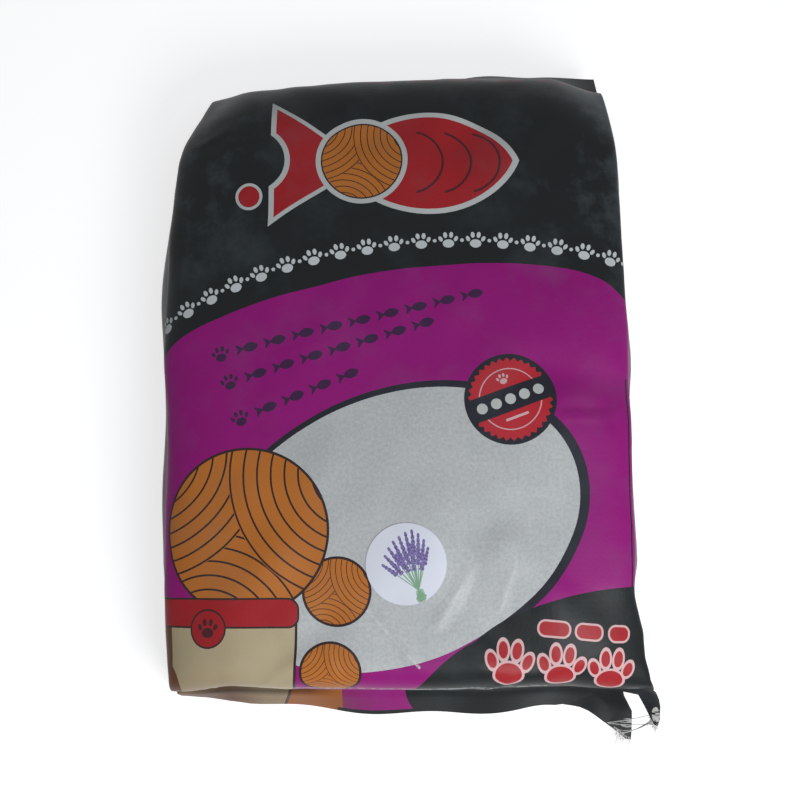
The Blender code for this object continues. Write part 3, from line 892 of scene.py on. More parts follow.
def film_places(rings):
    """Distances on the flat film for every point: around from the front's middle line, and along."""
    panel_count = len(across_shares())
    middle = panel_count // 2
    around_steps = np.linalg.norm(np.roll(rings, -1, axis=1) - rings, axis=2)
    start = np.zeros((len(rings), 1))
    from_left = np.concatenate([start, np.cumsum(around_steps, axis=1)[:, :-1]], axis=1)
    around = from_left - from_left[:, middle : middle + 1]
    left_leaves = rings.shape[1] - 2 * (FOLD_SEGMENTS + 1)
    whole = from_left[:, -1:] + around_steps[:, -1:]
    around[:, left_leaves:] -= whole
    along_steps = np.linalg.norm(np.diff(rings, axis=0), axis=2)
    from_bottom = np.concatenate([np.zeros((1, rings.shape[1])), np.cumsum(along_steps, axis=0)])
    return around, from_bottom - from_bottom[len(rings) // 2]


# The film's fine form


def ear_reshaped(points, front_share):
    """Points with the torn corner's plies in their finer form. front_share is 1 on the front plies."""
    across = points[..., 0]
    outward = smooth((across - seam_half_width() + GUSSET_TUCK) / GUSSET_TUCK)
    beyond_seam = -points[..., 1] - half_length()
    down_hem = smooth(beyond_seam / HEM_LENGTH)
    wider, back_wider = (np.interp(beyond_seam, *zip(*marks)) for marks in (EAR_WIDER, EAR_BACK_WIDER))
    longer, back_longer = (np.interp(across, *zip(*marks)) for marks in (RAW_EDGE, RAW_BACK_EDGE))
    moved = points.copy()
    moved[..., 0] += outward * (back_wider + (wider - back_wider) * front_share)
    moved[..., 1] -= down_hem * (back_longer + (longer - back_longer) * front_share)
    return moved


def front_plies(ring_size):
    """1 for the points of a ring that are on the front plies, and 0 on the back ones."""
    leaf = FOLD_SEGMENTS + 1
    panel_count = len(across_shares())
    front = np.ones(ring_size)
    front[panel_count + leaf : 2 * panel_count + 3 * leaf] = 0.0
    return front


def random_waves(u, v, wavelength, seed):
    """A smooth random field of height about one, from plane waves of about one wavelength."""
    chance = np.random.default_rng(seed)
    field = np.zeros(np.shape(u))
    for _ in range(SLACK_COUNT):
        heading = chance.uniform(0.0, math.pi)
        pitch = wavelength * chance.uniform(*WAVE_SPREAD)
        phase = chance.uniform(0.0, 2 * math.pi)
        field += np.cos(2 * math.pi * (u * math.cos(heading) + v * math.sin(heading)) / pitch + phase)
    return field * math.sqrt(2 / SLACK_COUNT)


def gathers(u, v, end):
    """Height of the gathers that run from a sewn end into the front, at film places."""
    chance = np.random.default_rng(GATHER_SEED + end)
    limit = np.abs(v).max()
    inward = np.clip((limit - HEM_LENGTH - end * v) / GATHER_REACH, 0.0, 1.0)
    height = np.zeros(np.shape(u))
    centre = -FACE_WIDTH / 2
    while centre < FACE_WIDTH / 2:
        width = GATHER_SPACING * chance.uniform(*GATHER_WIDTHS)
        reach = chance.uniform(*GATHER_LENGTHS)
        lean = chance.uniform(*GATHER_LEANS)
        rise = chance.uniform(-1.0, 1.0)
        line = centre + lean * inward * GATHER_REACH
        fade = smooth(1.0 - inward / reach) * smooth(inward / GATHER_START)
        widened = width * (1.0 + GATHER_WIDENING * inward)
        height += rise * fade * np.exp(-((u - line) ** 2) / widened**2)
        centre += GATHER_SPACING * chance.uniform(*GATHER_STEPS)
    return GATHER_HEIGHT * height


def creases(u, v):
    """Height of the film's thin creases, which bend a little on their way."""
    height = np.zeros(np.shape(u))
    for at, (start, end, width, rise, _) in enumerate(CREASES):
        run = np.subtract(end, start)
        length = math.hypot(*run)
        down = ((u - start[0]) * run[0] + (v - start[1]) * run[1]) / length**2
        bend = CREASE_BEND * (1 if at % 2 else -1) * length * 4.0 * down * (1.0 - down)
        aside = ((u - start[0]) * run[1] - (v - start[1]) * run[0]) / length - bend
        fade = smooth(down / CREASE_FADE) * smooth((1.0 - down) / CREASE_FADE)
        ridge = np.exp(-((aside / width) ** 2))
        dent = np.exp(-(((aside - 2 * width) / width) ** 2))
        height += rise * fade * (ridge - CREASE_DENT * dent)
    return height


def with_wrinkles(rings, around, along):
    """The rings with the film's slack, gathers and creases raised along the surface's own normals."""
    across_step = np.roll(rings, -1, axis=1) - np.roll(rings, 1, axis=1)
    along_step = np.gradient(rings, axis=0)
    normal = np.cross(across_step, along_step)
    normal /= np.maximum(np.linalg.norm(normal, axis=2), 1e-12)[..., None]
    height = creases(around, along) + gathers(around, along, -1) + gathers(around, along, 1)
    for at, (size, rise) in enumerate(SLACK_WAVES):
        height += rise * random_waves(around, along, size, SLACK_SEED + at)
    clear = smooth((rings[..., 2] - SEAM_HEIGHT - WRINKLE_START) / WRINKLE_RISE)
    fill_end = np.abs(rings[..., 1]) < half_length() + SHOULDER_OVERHANG + SEAM_BOW + TOP_SKEW
    return rings + normal * (height * clear * fill_end)[..., None]


def tube_faces(ring_count, ring_size):
    """Quads that join closed rings of points in order."""
    at = np.arange(ring_size)
    after = (at + 1) % ring_size
    quads = []
    for ring in range(ring_count - 1):
        low, high = ring * ring_size, (ring + 1) * ring_size
        quads.append(np.stack([low + at, low + after, high + after, high + at], axis=-1))
    return np.concatenate(quads).tolist()


def make_mesh_object(name, points, faces, sharp_angle):
    """A mesh object with its faces turned outwards, and its edges sharp above an angle."""
    mesh = bpy.data.meshes.new(name)
    mesh.from_pydata(np.asarray(points).tolist(), [], faces)
    obj = bpy.data.objects.new(name, mesh)
    bpy.context.scene.collection.objects.link(obj)
    bpy.context.view_layer.objects.active = obj
    bpy.ops.object.mode_set(mode="EDIT")
    bpy.ops.mesh.select_all(action="SELECT")
    bpy.ops.mesh.normals_make_consistent(inside=False)
    bpy.ops.object.mode_set(mode="OBJECT")
    mesh.shade_smooth()
    mesh.set_sharp_from_angle(angle=sharp_angle)
    return obj


# The print


def scaled(numbers, size):
    """Two numbers in units of a size, as lengths."""
    return tuple(size * number for number in numbers)


class Drawing:
    """Draws flat shapes with shader nodes. A shape is a socket that is below zero inside it."""

    def __init__(self, material):
        material.use_nodes = True
        self.tree = material.node_tree
        self.shader = self.tree.nodes["Principled BSDF"]
        self.place = None
        self.colour = None

    def stored(self, name, output):
        """A value that the mesh keeps for each of its points."""
        return self.add("ShaderNodeAttribute", attribute_name=name).outputs[output]

    def add(self, kind, **settings):
        """A new node with its settings."""
        node = self.tree.nodes.new(kind)
        for name, value in settings.items():
            setattr(node, name, value)
        return node

    def feed(self, socket, value):
        """Links a socket to an input, or sets a number there."""
        if isinstance(value, bpy.types.NodeSocket):
            self.tree.links.new(value, socket)
        else:
            socket.default_value = value

    def math(self, operation, *values):
        node = self.add("ShaderNodeMath", operation=operation)
        for socket, value in zip(node.inputs, values):
            self.feed(socket, value)
        return node.outputs[0]

    def vector(self, operation, *values):
        node = self.add("ShaderNodeVectorMath", operation=operation)
        for socket, value in zip(node.inputs, values):
            self.feed(socket, value)
        return node.outputs["Value" if operation in ("LENGTH", "DISTANCE", "DOT_PRODUCT") else "Vector"]

    def parts(self, vector):
        return self.through("ShaderNodeSeparateXYZ", vector).outputs

    def join(self, x, y):
        node = self.add("ShaderNodeCombineXYZ")
        self.feed(node.inputs["X"], x)
        self.feed(node.inputs["Y"], y)
        return node.outputs[0]

    def through(self, kind, value):
        node = self.add(kind)
        self.feed(node.inputs[0], value)
        return node

    def local(self, centre, tilt=0.0, size=(1.0, 1.0), place=None):
        """Places counted from a centre along tilted axes, in units of a size."""
        node = self.add("ShaderNodeMapping", vector_type="TEXTURE")
        self.feed(node.inputs["Vector"], place or self.place)
        node.inputs["Location"].default_value = (*centre, 0.0)
        node.inputs["Rotation"].default_value = (0.0, 0.0, tilt)
        node.inputs["Scale"].default_value = (*size, 1.0)
        return node.outputs[0]

    def disc(self, centre, radius, place=None):
        """A round disc. The socket is the distance from its edge."""
        away = self.vector("DISTANCE", place or self.place, (*centre, 0.0))
        return self.math("SUBTRACT", away, radius)

    def oval(self, centre, radii, tilt=0.0, place=None):
        """An ellipse. The socket is about the distance from its edge."""
        length = self.vector("LENGTH", self.local(centre, tilt, radii, place))
        return self.math("MULTIPLY", self.math("SUBTRACT", length, 1.0), min(radii))

    def bar(self, centre, halves, round_off, tilt=0.0, place=None):
        """A rectangle with rounded corners. The socket is the distance from its edge."""
        away = self.vector("ABSOLUTE", self.local(centre, tilt, place=place))
        beyond = self.vector("SUBTRACT", away, (halves[0] - round_off, halves[1] - round_off, 0.0))
        outside = self.vector("LENGTH", self.vector("MAXIMUM", beyond, (0.0, 0.0, 0.0)))
        return self.math("SUBTRACT", outside, round_off)

    def stroke(self, start, end, half, place=None):
        """A line with round ends from one place to another, of a half width."""
        run = np.subtract(end, start)
        middle = tuple(float(number) for number in np.add(start, end) / 2)
        halves = (math.hypot(*run) / 2 + half, half)
        return self.bar(middle, halves, STROKE_ROUNDING * half, math.atan2(run[1], run[0]), place)

    def join_shapes(self, *shapes):
        """All shapes together."""
        whole = shapes[0]
        for shape in shapes[1:]:
            whole = self.math("MINIMUM", whole, shape)
        return whole

    def common(self, *shapes):
        """What lies inside every shape."""
        whole = shapes[0]
        for shape in shapes[1:]:
            whole = self.math("MAXIMUM", whole, shape)
        return whole

    def without(self, shape, hole):
        """A shape with a hole cut in it."""
        return self.common(shape, self.math("MULTIPLY", hole, -1.0))

    def cell(self, value, pitch):
        """Place within a repeated cell, from minus half a pitch to plus half a pitch."""
        return self.math("SUBTRACT", self.math("FLOORED_MODULO", value, pitch), pitch / 2)

    def paw(self, place, size):
        """A paw print of a size across, in places counted from its middle."""
        x, y, _ = self.parts(place)
        mirrored = self.join(self.math("ABSOLUTE", x), y)
        ovals = []
        for middle, radii, tilt in PAW_PARTS:
            ovals.append(self.oval(scaled(middle, size), scaled(radii, size), tilt, mirrored))
        return self.join_shapes(*ovals)

    def fish(self, place, length):
        """A fish that swims to the right, in places counted from its middle."""
        x, y, _ = self.parts(place)
        aside = self.math("ABSOLUTE", y)
        mirrored = self.join(x, aside)
        middle, radii = FISH_FLANK
        body = self.oval(scaled(middle, length), scaled(radii, length), place=mirrored)
        fan_start, fan_slope = FISH_FAN
        behind = self.math("MULTIPLY", self.math("ADD", x, fan_start * length), fan_slope)
        end = self.math("SUBTRACT", self.math("MULTIPLY", x, -1.0), FISH_END * length)
        tail = self.common(self.math("ADD", aside, behind), end)
        notch_place, notch_radius = scaled(FISH_NOTCH, length)
        notched = self.without(tail, self.disc((notch_place, 0.0), notch_radius, mirrored))
        return self.join_shapes(body, notched)

    def strands(self, centre, radius):
        """The dark lines between the strands of a ball of yarn, wound in three directions."""
        winds = []
        for turn, away in YARN_POLES:
            pole = np.add(centre, (away * radius * math.cos(turn), away * radius * math.sin(turn)))
            far = self.vector("DISTANCE", self.place, (*pole, 0.0))
            lap = self.math("PINGPONG", far, YARN_STRAND * radius)
            line = self.math("SUBTRACT", lap, YARN_LINE * radius)
            winds.append((line, self.math("SUBTRACT", far, YARN_REACH * radius)))
        first, second, third = winds
        shown = self.common(*first)
        beside_first = self.without(self.common(*second), first[1])
        under_both = self.without(self.without(third[0], first[1]), second[1])
        return self.join_shapes(shown, beside_first, under_both)

    def paint(self, shape, colour, grow=0.0):
        """Lays a colour over what is painted so far, inside a shape that is grown by a distance."""
        self.cover(self.math("LESS_THAN", shape, grow), colour)

    def cover(self, share, colour):
        """Lays a share of a colour over what is painted so far."""
        self.colour = self.blend(share, self.colour, colour)

    def blend(self, share, under, over):
        """Goes over from one colour to another by a share."""
        node = self.add("ShaderNodeMix", data_type="RGBA")
        self.feed(node.inputs["Factor"], share)
        for name, colour in (("A", under), ("B", over)):
            linked = isinstance(colour, bpy.types.NodeSocket)
            self.feed(node.inputs[name], colour if linked else (*colour, 1.0))
        return node.outputs["Result"]

    def noise(self, scale, detail, roughness):
        """Soft random grey over the surface."""
        node = self.add("ShaderNodeTexNoise", noise_dimensions="3D")
        self.feed(node.inputs["Vector"], self.place)
        node.inputs["Scale"].default_value = scale
        node.inputs["Detail"].default_value = detail
        node.inputs["Roughness"].default_value = roughness
        return node.outputs["Fac"]

    def spread(self, value, low, high, to_low=0.0, to_high=1.0):
        """A value between two marks as a share, or as a number between two others."""
        node = self.add("ShaderNodeMapRange", clamp=True)
        limits = {"From Min": low, "From Max": high, "To Min": to_low, "To Max": to_high}
        for name, number in limits.items():
            node.inputs[name].default_value = number
        self.feed(node.inputs["Value"], value)
        return node.outputs["Result"]

    def bump(self, height, strength, distance):
        """Gives the surface a fine relief in its shading."""
        node = self.add("ShaderNodeBump")
        node.inputs["Strength"].default_value = strength
        node.inputs["Distance"].default_value = distance
        self.feed(node.inputs["Height"], height)
        self.feed(self.shader.inputs["Normal"], node.outputs["Normal"])


def paint_yarn_ball(drawing, centre, radius, outline):
    """A ball of orange yarn with dark strands and a dark outline."""
    ball = drawing.disc(centre, radius)
    drawing.paint(ball, BROWN, outline)
    drawing.paint(ball, ORANGE)
    drawing.paint(drawing.common(drawing.strands(centre, radius), ball), BROWN)


def arch_height(drawing, across):
    """Height of the arch at a place across the film, from a curve through its marks."""
    start, end = ARCH[0][0], ARCH[-1][0]
    curve = drawing.add("ShaderNodeFloatCurve")
    points = curve.mapping.curves[0].points
    while len(points) < len(ARCH):
        points.new(0.5, 0.5)
    for point, (mark, height) in zip(points, ARCH):
        point.location = ((mark - start) / (end - start), height / ARCH_LIMIT)
    curve.mapping.update()
    share = drawing.math("DIVIDE", drawing.math("SUBTRACT", across, start), end - start)
    drawing.feed(curve.inputs["Value"], share)
    return drawing.math("MULTIPLY", curve.outputs[0], ARCH_LIMIT)


def paint_fields(drawing):
    """The magenta field with its arched black top, the bordered pale field and the dark corner."""
    x, y, _ = drawing.parts(drawing.place)
    drawing.colour = drawing.blend(drawing.math("GREATER_THAN", y, arch_height(drawing, x)), MAGENTA, BLACK)
    border = drawing.oval(BORDER_CENTRE, BORDER_RADII, FIELD_TILT)
    drawing.paint(drawing.common(border, drawing.math("SUBTRACT", BORDER_END, y)), BORDER)
    field = drawing.oval(FIELD_CENTRE, FIELD_RADII, FIELD_TILT)
    grain = drawing.spread(drawing.noise(*GRAIN_NOISE), *GRAIN_SPAN)
    drawing.paint(field, drawing.blend(grain, GRANULE, LIGHT_FIELD))
    for centre, radii in CORNER_OVALS:
        drawing.paint(drawing.oval(centre, radii), BLACK)


def paint_emblem(drawing):
    """A red fish with scales behind a ball of yarn, and a button at its tail, in the black field."""
    fish = drawing.fish(drawing.local(EMBLEM_CENTRE), EMBLEM_LENGTH)
    drawing.paint(fish, OUTLINE_GREY, EMBLEM_EDGE)
    drawing.paint(fish, RED)
    x = drawing.parts(drawing.place)[0]
    inset = drawing.math("ADD", fish, SCALE_INSET)
    for place in SCALE_PLACES:
        circle = drawing.math("ABSOLUTE", drawing.disc((place, EMBLEM_CENTRE[1]), SCALE_RADIUS))
        arc = drawing.math("SUBTRACT", drawing.common(circle, inset), SCALE_HALF)
        front = drawing.math("SUBTRACT", place + SCALE_START, x)
        drawing.paint(drawing.common(arc, front), DARK_RED)
    edge_radius, ball_radius = EMBLEM_BALL_RADII
    drawing.paint(drawing.disc(EMBLEM_BALL, edge_radius), OUTLINE_GREY)
    paint_yarn_ball(drawing, EMBLEM_BALL, ball_radius, EMBLEM_BALL_LINE)
    for radius, colour in zip(BUTTON_RADII, (OUTLINE_GREY, RED)):
        drawing.paint(drawing.disc(BUTTON, radius), colour)


def paint_arched_row(drawing):
    """A row of small pale paw prints along an arch, with a dot between each two."""
    centre = (*ROW_CENTRE, 0.0)
    x, y, _ = drawing.parts(drawing.vector("SUBTRACT", drawing.place, centre))
    run = drawing.math("MULTIPLY", drawing.math("ARCTAN2", x, y), ROW_RADIUS)
    out = drawing.disc(ROW_CENTRE, ROW_RADIUS)
    paw = drawing.paw(drawing.join(drawing.cell(run, ROW_PITCH), out), ROW_PAW_SIZE)
    shifted = drawing.cell(drawing.math("ADD", run, ROW_PITCH / 2), ROW_PITCH)
    dot = drawing.disc((0.0, 0.0), ROW_DOT_RADIUS, drawing.join(shifted, out))
    drawing.paint(drawing.join_shapes(paw, dot), WHITE_INK)


def paint_fish_rows(drawing):
    """Three tilted rows of small dark fish, each after a paw print."""
    for start, degrees, count in FISH_ROWS:
        place = drawing.local(start, math.radians(degrees))
        drawing.paint(drawing.paw(place, FISH_PAW_SIZE), DARK_PURPLE)
        x, y, _ = drawing.parts(place)
        step = drawing.cell(drawing.math("SUBTRACT", x, FISH_START), FISH_PITCH)
        fish = drawing.fish(drawing.join(step, y), FISH_LENGTH)
        half = count * FISH_PITCH / 2
        row = drawing.bar((FISH_START + half, 0.0), (half, FISH_PITCH / 2), MASK_ROUNDING, place=place)
        drawing.paint(drawing.common(fish, row), DARK_PURPLE)


def paint_seal(drawing):
    """A round toothed seal with a ring, a paw print, a dash and a slanting band with a row of dots."""
    drawing.paint(drawing.disc(SEAL_CENTRE, SEAL_RADIUS), BORDER)
    local = drawing.local(SEAL_CENTRE, SEAL_TILT)
    x, y, _ = drawing.parts(local)
    teeth = drawing.math("PINGPONG", drawing.math("ARCTAN2", y, x), math.pi / SEAL_TEETH)
    from_middle = drawing.vector("LENGTH", local)
    toothed = drawing.math("ADD", from_middle, drawing.math("MULTIPLY", teeth, TOOTH_SLOPE))
    drawing.paint(drawing.math("SUBTRACT", toothed, TOOTH_TIPS), SEAL_RED)
    ring = drawing.math("ABSOLUTE", drawing.math("SUBTRACT", from_middle, RING_RADIUS))
    drawing.paint(ring, PALE_PINK, RING_HALF)
    drawing.paint(drawing.bar((0.0, 0.0), BAND_HALVES, MASK_ROUNDING, place=local), BORDER)
    step = drawing.cell(drawing.math("ADD", x, DOT_PITCH / 2), DOT_PITCH)
    dot = drawing.disc((0.0, 0.0), DOT_RADIUS, drawing.join(step, y))
    row = drawing.bar((0.0, 0.0), DOT_ROW_HALVES, MASK_ROUNDING, place=local)
    drawing.paint(drawing.common(dot, row), OUTLINE_GREY)
    drawing.paint(drawing.paw(drawing.local(SEAL_PAW, place=local), SEAL_PAW_SIZE), PALE_PINK)
    drawing.paint(drawing.bar(*SEAL_DASH, MASK_ROUNDING, place=local), PALE_PINK)


def paint_bowl(drawing):
    """Balls of yarn in and beside a cream bowl with a red rim and tag, at the lower left."""
    drawing.paint(drawing.bar(*LOOSE_YARN), ORANGE)
    for centre, radius in YARN_BALLS:
        paint_yarn_ball(drawing, centre, radius, YARN_OUTLINE)
    below = drawing.math("SUBTRACT", drawing.parts(drawing.place)[1], BOWL_TOP)
    bowl = drawing.common(drawing.oval(*BOWL), below)
    drawing.paint(bowl, BROWN, BOWL_OUTLINE)
    drawing.paint(bowl, CREAM)
    drawing.paint(drawing.bar(*BOWL_SIDE_STAIN), EDGE_BROWN)
    drawing.paint(drawing.oval(*BOWL_FOOT_STAIN), EDGE_BROWN)
    rim = drawing.bar(*RIM)
    drawing.paint(rim, BROWN, RIM_OUTLINE)
    drawing.paint(rim, RED)
    for radius, colour in zip(TAG_RADII, (BROWN, RED)):
        drawing.paint(drawing.disc(TAG, radius), colour)
    drawing.paint(drawing.paw(drawing.local(TAG), TAG_PAW_SIZE), DARK_RED)


def paint_corner(drawing):
    """Red paw prints and bars with a pale edge, in the dark corner at the lower right."""
    shapes = []
    for centre in CORNER_PAWS:
        stretched = drawing.local(centre, CORNER_SLANT, (1.0, CORNER_STRETCH))
        shapes.append(drawing.paw(stretched, CORNER_PAW_SIZE))
    for centre, half in CORNER_BARS:
        rounding = CORNER_BAR_HALF * CORNER_BAR_ROUNDING
        shapes.append(drawing.bar(centre, (half, CORNER_BAR_HALF), rounding, CORNER_SLANT))
    for shape in shapes:
        drawing.paint(shape, PALE_PINK, CORNER_EDGE)
        drawing.paint(shape, RED)


def paint_top_line(drawing):
    """A faint line of dark red dashes along the top of the front."""
    x, y, _ = drawing.parts(drawing.place)
    drawing.paint(drawing.bar(*DASH, place=drawing.join(drawing.cell(x, DASH_PITCH), y)), DARK_RED)


def paint_pale_lines(drawing, broken):
    """Pale lines on the raised creases, partly wear whitening and partly painted highlight, a painted
    highlight over the bottom seam, and the painted shade of the sharp fold.
    """
    lines = [(start, end, CREASE_LINE_HALF, paleness) for start, end, _, _, paleness in CREASES if paleness]
    gaps = drawing.math("SUBTRACT", PALE_LINE_LEVEL, broken)
    # The crease lines are partly wear whitening and partly painted highlight; the line over the seam is a
    # painted highlight
    for start, end, half, paleness in lines + [SEAM_HIGHLIGHT]:
        shown = drawing.common(drawing.stroke(start, end, half), gaps)
        drawing.cover(drawing.math("MULTIPLY", drawing.math("LESS_THAN", shown, 0.0), paleness), WHITENING_AND_HIGHLIGHT)
    # Painted shade along the sharp fold on the right edge
    drawing.paint(drawing.stroke(*SHARP_FOLD_SHADE), BLACK)


def paint_hem(drawing):
    """Painted shade in the fold under the bottom seam and on the hem below it, and black along the bottom
    hem's raw edge.
    """
    place = drawing.parts(drawing.place)
    # Painted shade in the fold under the bottom seam and on the hem below it
    for middle, reach, darkness, colour in FOLD_SHADE:
        aside, apart = (
            drawing.math("ABSOLUTE", drawing.math("SUBTRACT", place[axis], middle[axis])) for axis in (0, 1)
        )
        stretch = drawing.spread(aside, SHADE_CORE * reach[0], reach[0], darkness, 0.0)
        depth = drawing.spread(apart, 0.0, reach[1], 1.0, 0.0)
        drawing.cover(drawing.math("MULTIPLY", stretch, depth), colour)
    start, width = UNDER_EDGE
    from_raw_edge = drawing.math("SUBTRACT", 1.0, drawing.stored("hem_share", "Fac"))
    narrow = drawing.math("SUBTRACT", from_raw_edge, width)
    drawing.paint(drawing.common(narrow, drawing.math("SUBTRACT", start, place[0])), BLACK)


def paint_torn_corner(drawing, broken):
    """Pale lines and frayed patches where the film's laminate is torn."""
    plan = drawing.stored("plan_place", "Vector")
    for start, end in TORN_LINES:
        drawing.paint(drawing.stroke(start, end, TORN_LINE_HALF, plan), TORN_WHITE)
    frayed = drawing.math("SUBTRACT", broken, FRAYED_LEVEL)
    for centre, radii, degrees in TORN_PATCHES:
        patch = drawing.oval(centre, radii, math.radians(degrees), plan)
        drawing.paint(drawing.common(patch, frayed), TORN_WHITE)


def paint_bare_film(drawing):
    """Plain black film beside the print and on the sides and back."""
    aside = drawing.math("ABSOLUTE", drawing.parts(drawing.place)[0])
    beside = drawing.math("GREATER_THAN", aside, PRINT_HALF_WIDTH)
    unprinted = drawing.math("SUBTRACT", 1.0, drawing.stored("printed", "Fac"))
    drawing.cover(drawing.math("MAXIMUM", beside, unprinted), BLACK)


def paint_dust_and_sheen(drawing, cloud):
    """Dust with a painted sheen in it, in soft clouds, thicker on the upper sides."""
    x, y, _ = drawing.parts(drawing.place)
    aside = drawing.spread(drawing.math("ABSOLUTE", x), *UPPER_SIDE_ASIDE)
    upper_sides = drawing.math("MULTIPLY", aside, drawing.spread(y, *UPPER_SIDE_ALONG))
    thickness = drawing.math("ADD", drawing.math("MULTIPLY", upper_sides, UPPER_SIDE_SHARE), DUST_AND_SHEEN_SHARE)
    # Dust, partly a painted sheen, laid over the film
    drawing.cover(drawing.math("MULTIPLY", drawing.spread(cloud, *DUST_AND_SHEEN_SPAN), thickness), DUST_AND_SHEEN)


def weave(drawing):
    """Height of the woven ground's threads."""
    waves = []
    for direction in ("X", "Y"):
        wave = drawing.add("ShaderNodeTexWave", wave_type="BANDS", bands_direction=direction)
        drawing.feed(wave.inputs["Vector"], drawing.place)
        wave.inputs["Scale"].default_value = WEAVE_SCALE
        waves.append(wave.outputs["Fac"])
    return drawing.math("MAXIMUM", *waves)


def film_material():
    """Printed film: a satin laminate over a woven ground, torn at the foot, with wear whitening and painted
    highlights on its creases, a painted highlight over the bottom seam, painted shade in the fold under the
    seam and along the sharp fold, and dust with a painted sheen.
    """
    material = bpy.data.materials.new("printed_film")
    drawing = Drawing(material)
    drawing.place = drawing.stored("film_place", "Vector")
    paint_fields(drawing)
    paint_top_line(drawing)
    paint_emblem(drawing)
    paint_arched_row(drawing)
    paint_fish_rows(drawing)
    paint_bowl(drawing)
    paint_seal(drawing)
    paint_corner(drawing)
    paint_bare_film(drawing)
    broken = drawing.noise(*BROKEN_NOISE)
    paint_pale_lines(drawing, broken)
    paint_hem(drawing)
    paint_torn_corner(drawing, broken)
    cloud = drawing.noise(*CLOUD_NOISE)
    paint_dust_and_sheen(drawing, cloud)
    drawing.feed(drawing.shader.inputs["Base Color"], drawing.colour)
    drawing.feed(drawing.shader.inputs["Roughness"], drawing.spread(cloud, *ROUGHNESS_SPAN))
    drawing.shader.inputs["Specular IOR Level"].default_value = FILM_GLOSS
    threads = drawing.math("MULTIPLY", weave(drawing), WEAVE_SHARE)
    drawing.bump(drawing.math("ADD", threads, drawing.noise(*RELIEF_NOISE)), *FILM_BUMP)
    return material


def keep_on_points(obj, name, kind, values):
    """Keeps a number or a vector for each point of an object's mesh."""
    field = "vector" if kind == "FLOAT_VECTOR" else "value"
    attribute = obj.data.attributes.new(name, kind, "POINT")
    attribute.data.foreach_set(field, np.asarray(values, np.float32).ravel())


def make_sack(rings, shift):
    """The filled sack with its hems, from rings in the CAD model's own frame and their shift."""
    rings = ear_reshaped(rings, front_plies(rings.shape[1]))
    around, along = film_places(rings)
    edge = raw_edge_faces(len(across_shares()))
    last = (len(rings) - 1) * rings.shape[1]
    far_edge = [tuple(last + at for at in face) for face in edge]
    faces = tube_faces(len(rings), rings.shape[1]) + edge + far_edge
    points = (with_wrinkles(rings, around, along) + shift).reshape(-1, 3)
    sack = make_mesh_object("printed_sack", points, faces, SACK_SHARP_ANGLE)
    film_place = np.stack([around, along, np.zeros(around.shape)], axis=-1)
    hem_share = np.zeros(around.shape)
    hem_share[: 2 * HEM_SEGMENTS] = (hem_stations() / HEM_LENGTH)[::-1, None]
    keep_on_points(sack, "film_place", "FLOAT_VECTOR", film_place)
    keep_on_points(sack, "plan_place", "FLOAT_VECTOR", rings)
    keep_on_points(sack, "printed", "FLOAT", np.abs(around) < FRONT_REACH)
    keep_on_points(sack, "hem_share", "FLOAT", hem_share)
    sack.data.materials.append(film_material())
    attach(sack, "root")
    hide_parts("sack")
    return sack


# The label, the stitches and the frayed edge


def film_tree(sack):
    """The fine sack's surface, for laying things on it."""
    points = [vertex.co for vertex in sack.data.vertices]
    return BVHTree.FromPolygons(points, [face.vertices[:] for face in sack.data.polygons])


def laid_on(tree, x, y, lift):
    """The point of the surface below a place, lifted off it."""
    hit, normal, _, _ = tree.ray_cast((x, y, 1.0), (0.0, 0.0, -1.0))
    return np.array(hit + normal * (lift if normal.z > 0 else -lift))


def sprigs():
    """The run, length and tilt of each sprig of the bunch."""
    for tip in SPRIG_TIPS:
        run = np.subtract(tip, SPRIG_FOOT)
        yield run, math.hypot(*run), math.atan2(run[1], run[0])


def florets(drawing, length, tilt):
    """The florets of a sprig's flower head, which narrows to its tip."""
    place = drawing.local(SPRIG_FOOT, tilt)
    x, y, _ = drawing.parts(place)
    head = HEAD_SHARE * length
    pitch = head / SPRIG_FLORETS
    step = drawing.cell(drawing.math("SUBTRACT", x, length - head), pitch)
    share = drawing.spread(x, length - head, length, 1.0, HEAD_TAPER)
    width = drawing.math("MULTIPLY", share, SPRIG_WIDTH)
    sideways = drawing.math("DIVIDE", drawing.math("ABSOLUTE", y), width)
    lengthways = drawing.math("DIVIDE", step, FLORET_SHARE * pitch)
    floret = drawing.disc((0.0, 0.0), 1.0, drawing.join(lengthways, sideways))
    halves = (head / 2, HEAD_HALF_WIDTH)
    return drawing.common(floret, drawing.bar((length - head / 2, 0.0), halves, HEAD_ROUNDING, place=place))


def label_material():
    """White satin paper printed with a bunch of lavender."""
    material = bpy.data.materials.new("label_paper")
    drawing = Drawing(material)
    drawing.place = drawing.stored("label_place", "Vector")
    drawing.colour = LABEL_WHITE
    for run, length, tilt in sprigs():
        middle = tuple(SPRIG_FOOT + run * STEM_MIDDLE)
        stem = drawing.bar(middle, (length * STEM_HALF, STEM_HALF_WIDTH), STEM_ROUNDING, tilt)
        drawing.paint(stem, STEM_GREEN)
    shade = drawing.blend(drawing.spread(drawing.noise(*SPECKLE_NOISE), *SPECKLE_SPAN), *LAVENDER)
    for _, length, tilt in sprigs():
        drawing.paint(florets(drawing, length, tilt), shade)
    streak = drawing.math("PINGPONG", drawing.parts(drawing.place)[0], KNOT_STREAK)
    dark = drawing.math("SUBTRACT", streak, KNOT_STREAK_START)
    drawing.paint(drawing.common(drawing.bar(*KNOT), dark), STEM_GREEN)
    drawing.feed(drawing.shader.inputs["Base Color"], drawing.colour)
    drawing.shader.inputs["Roughness"].default_value = LABEL_ROUGHNESS
    drawing.bump(drawing.noise(*PAPER_NOISE), *LABEL_BUMP)
    return material


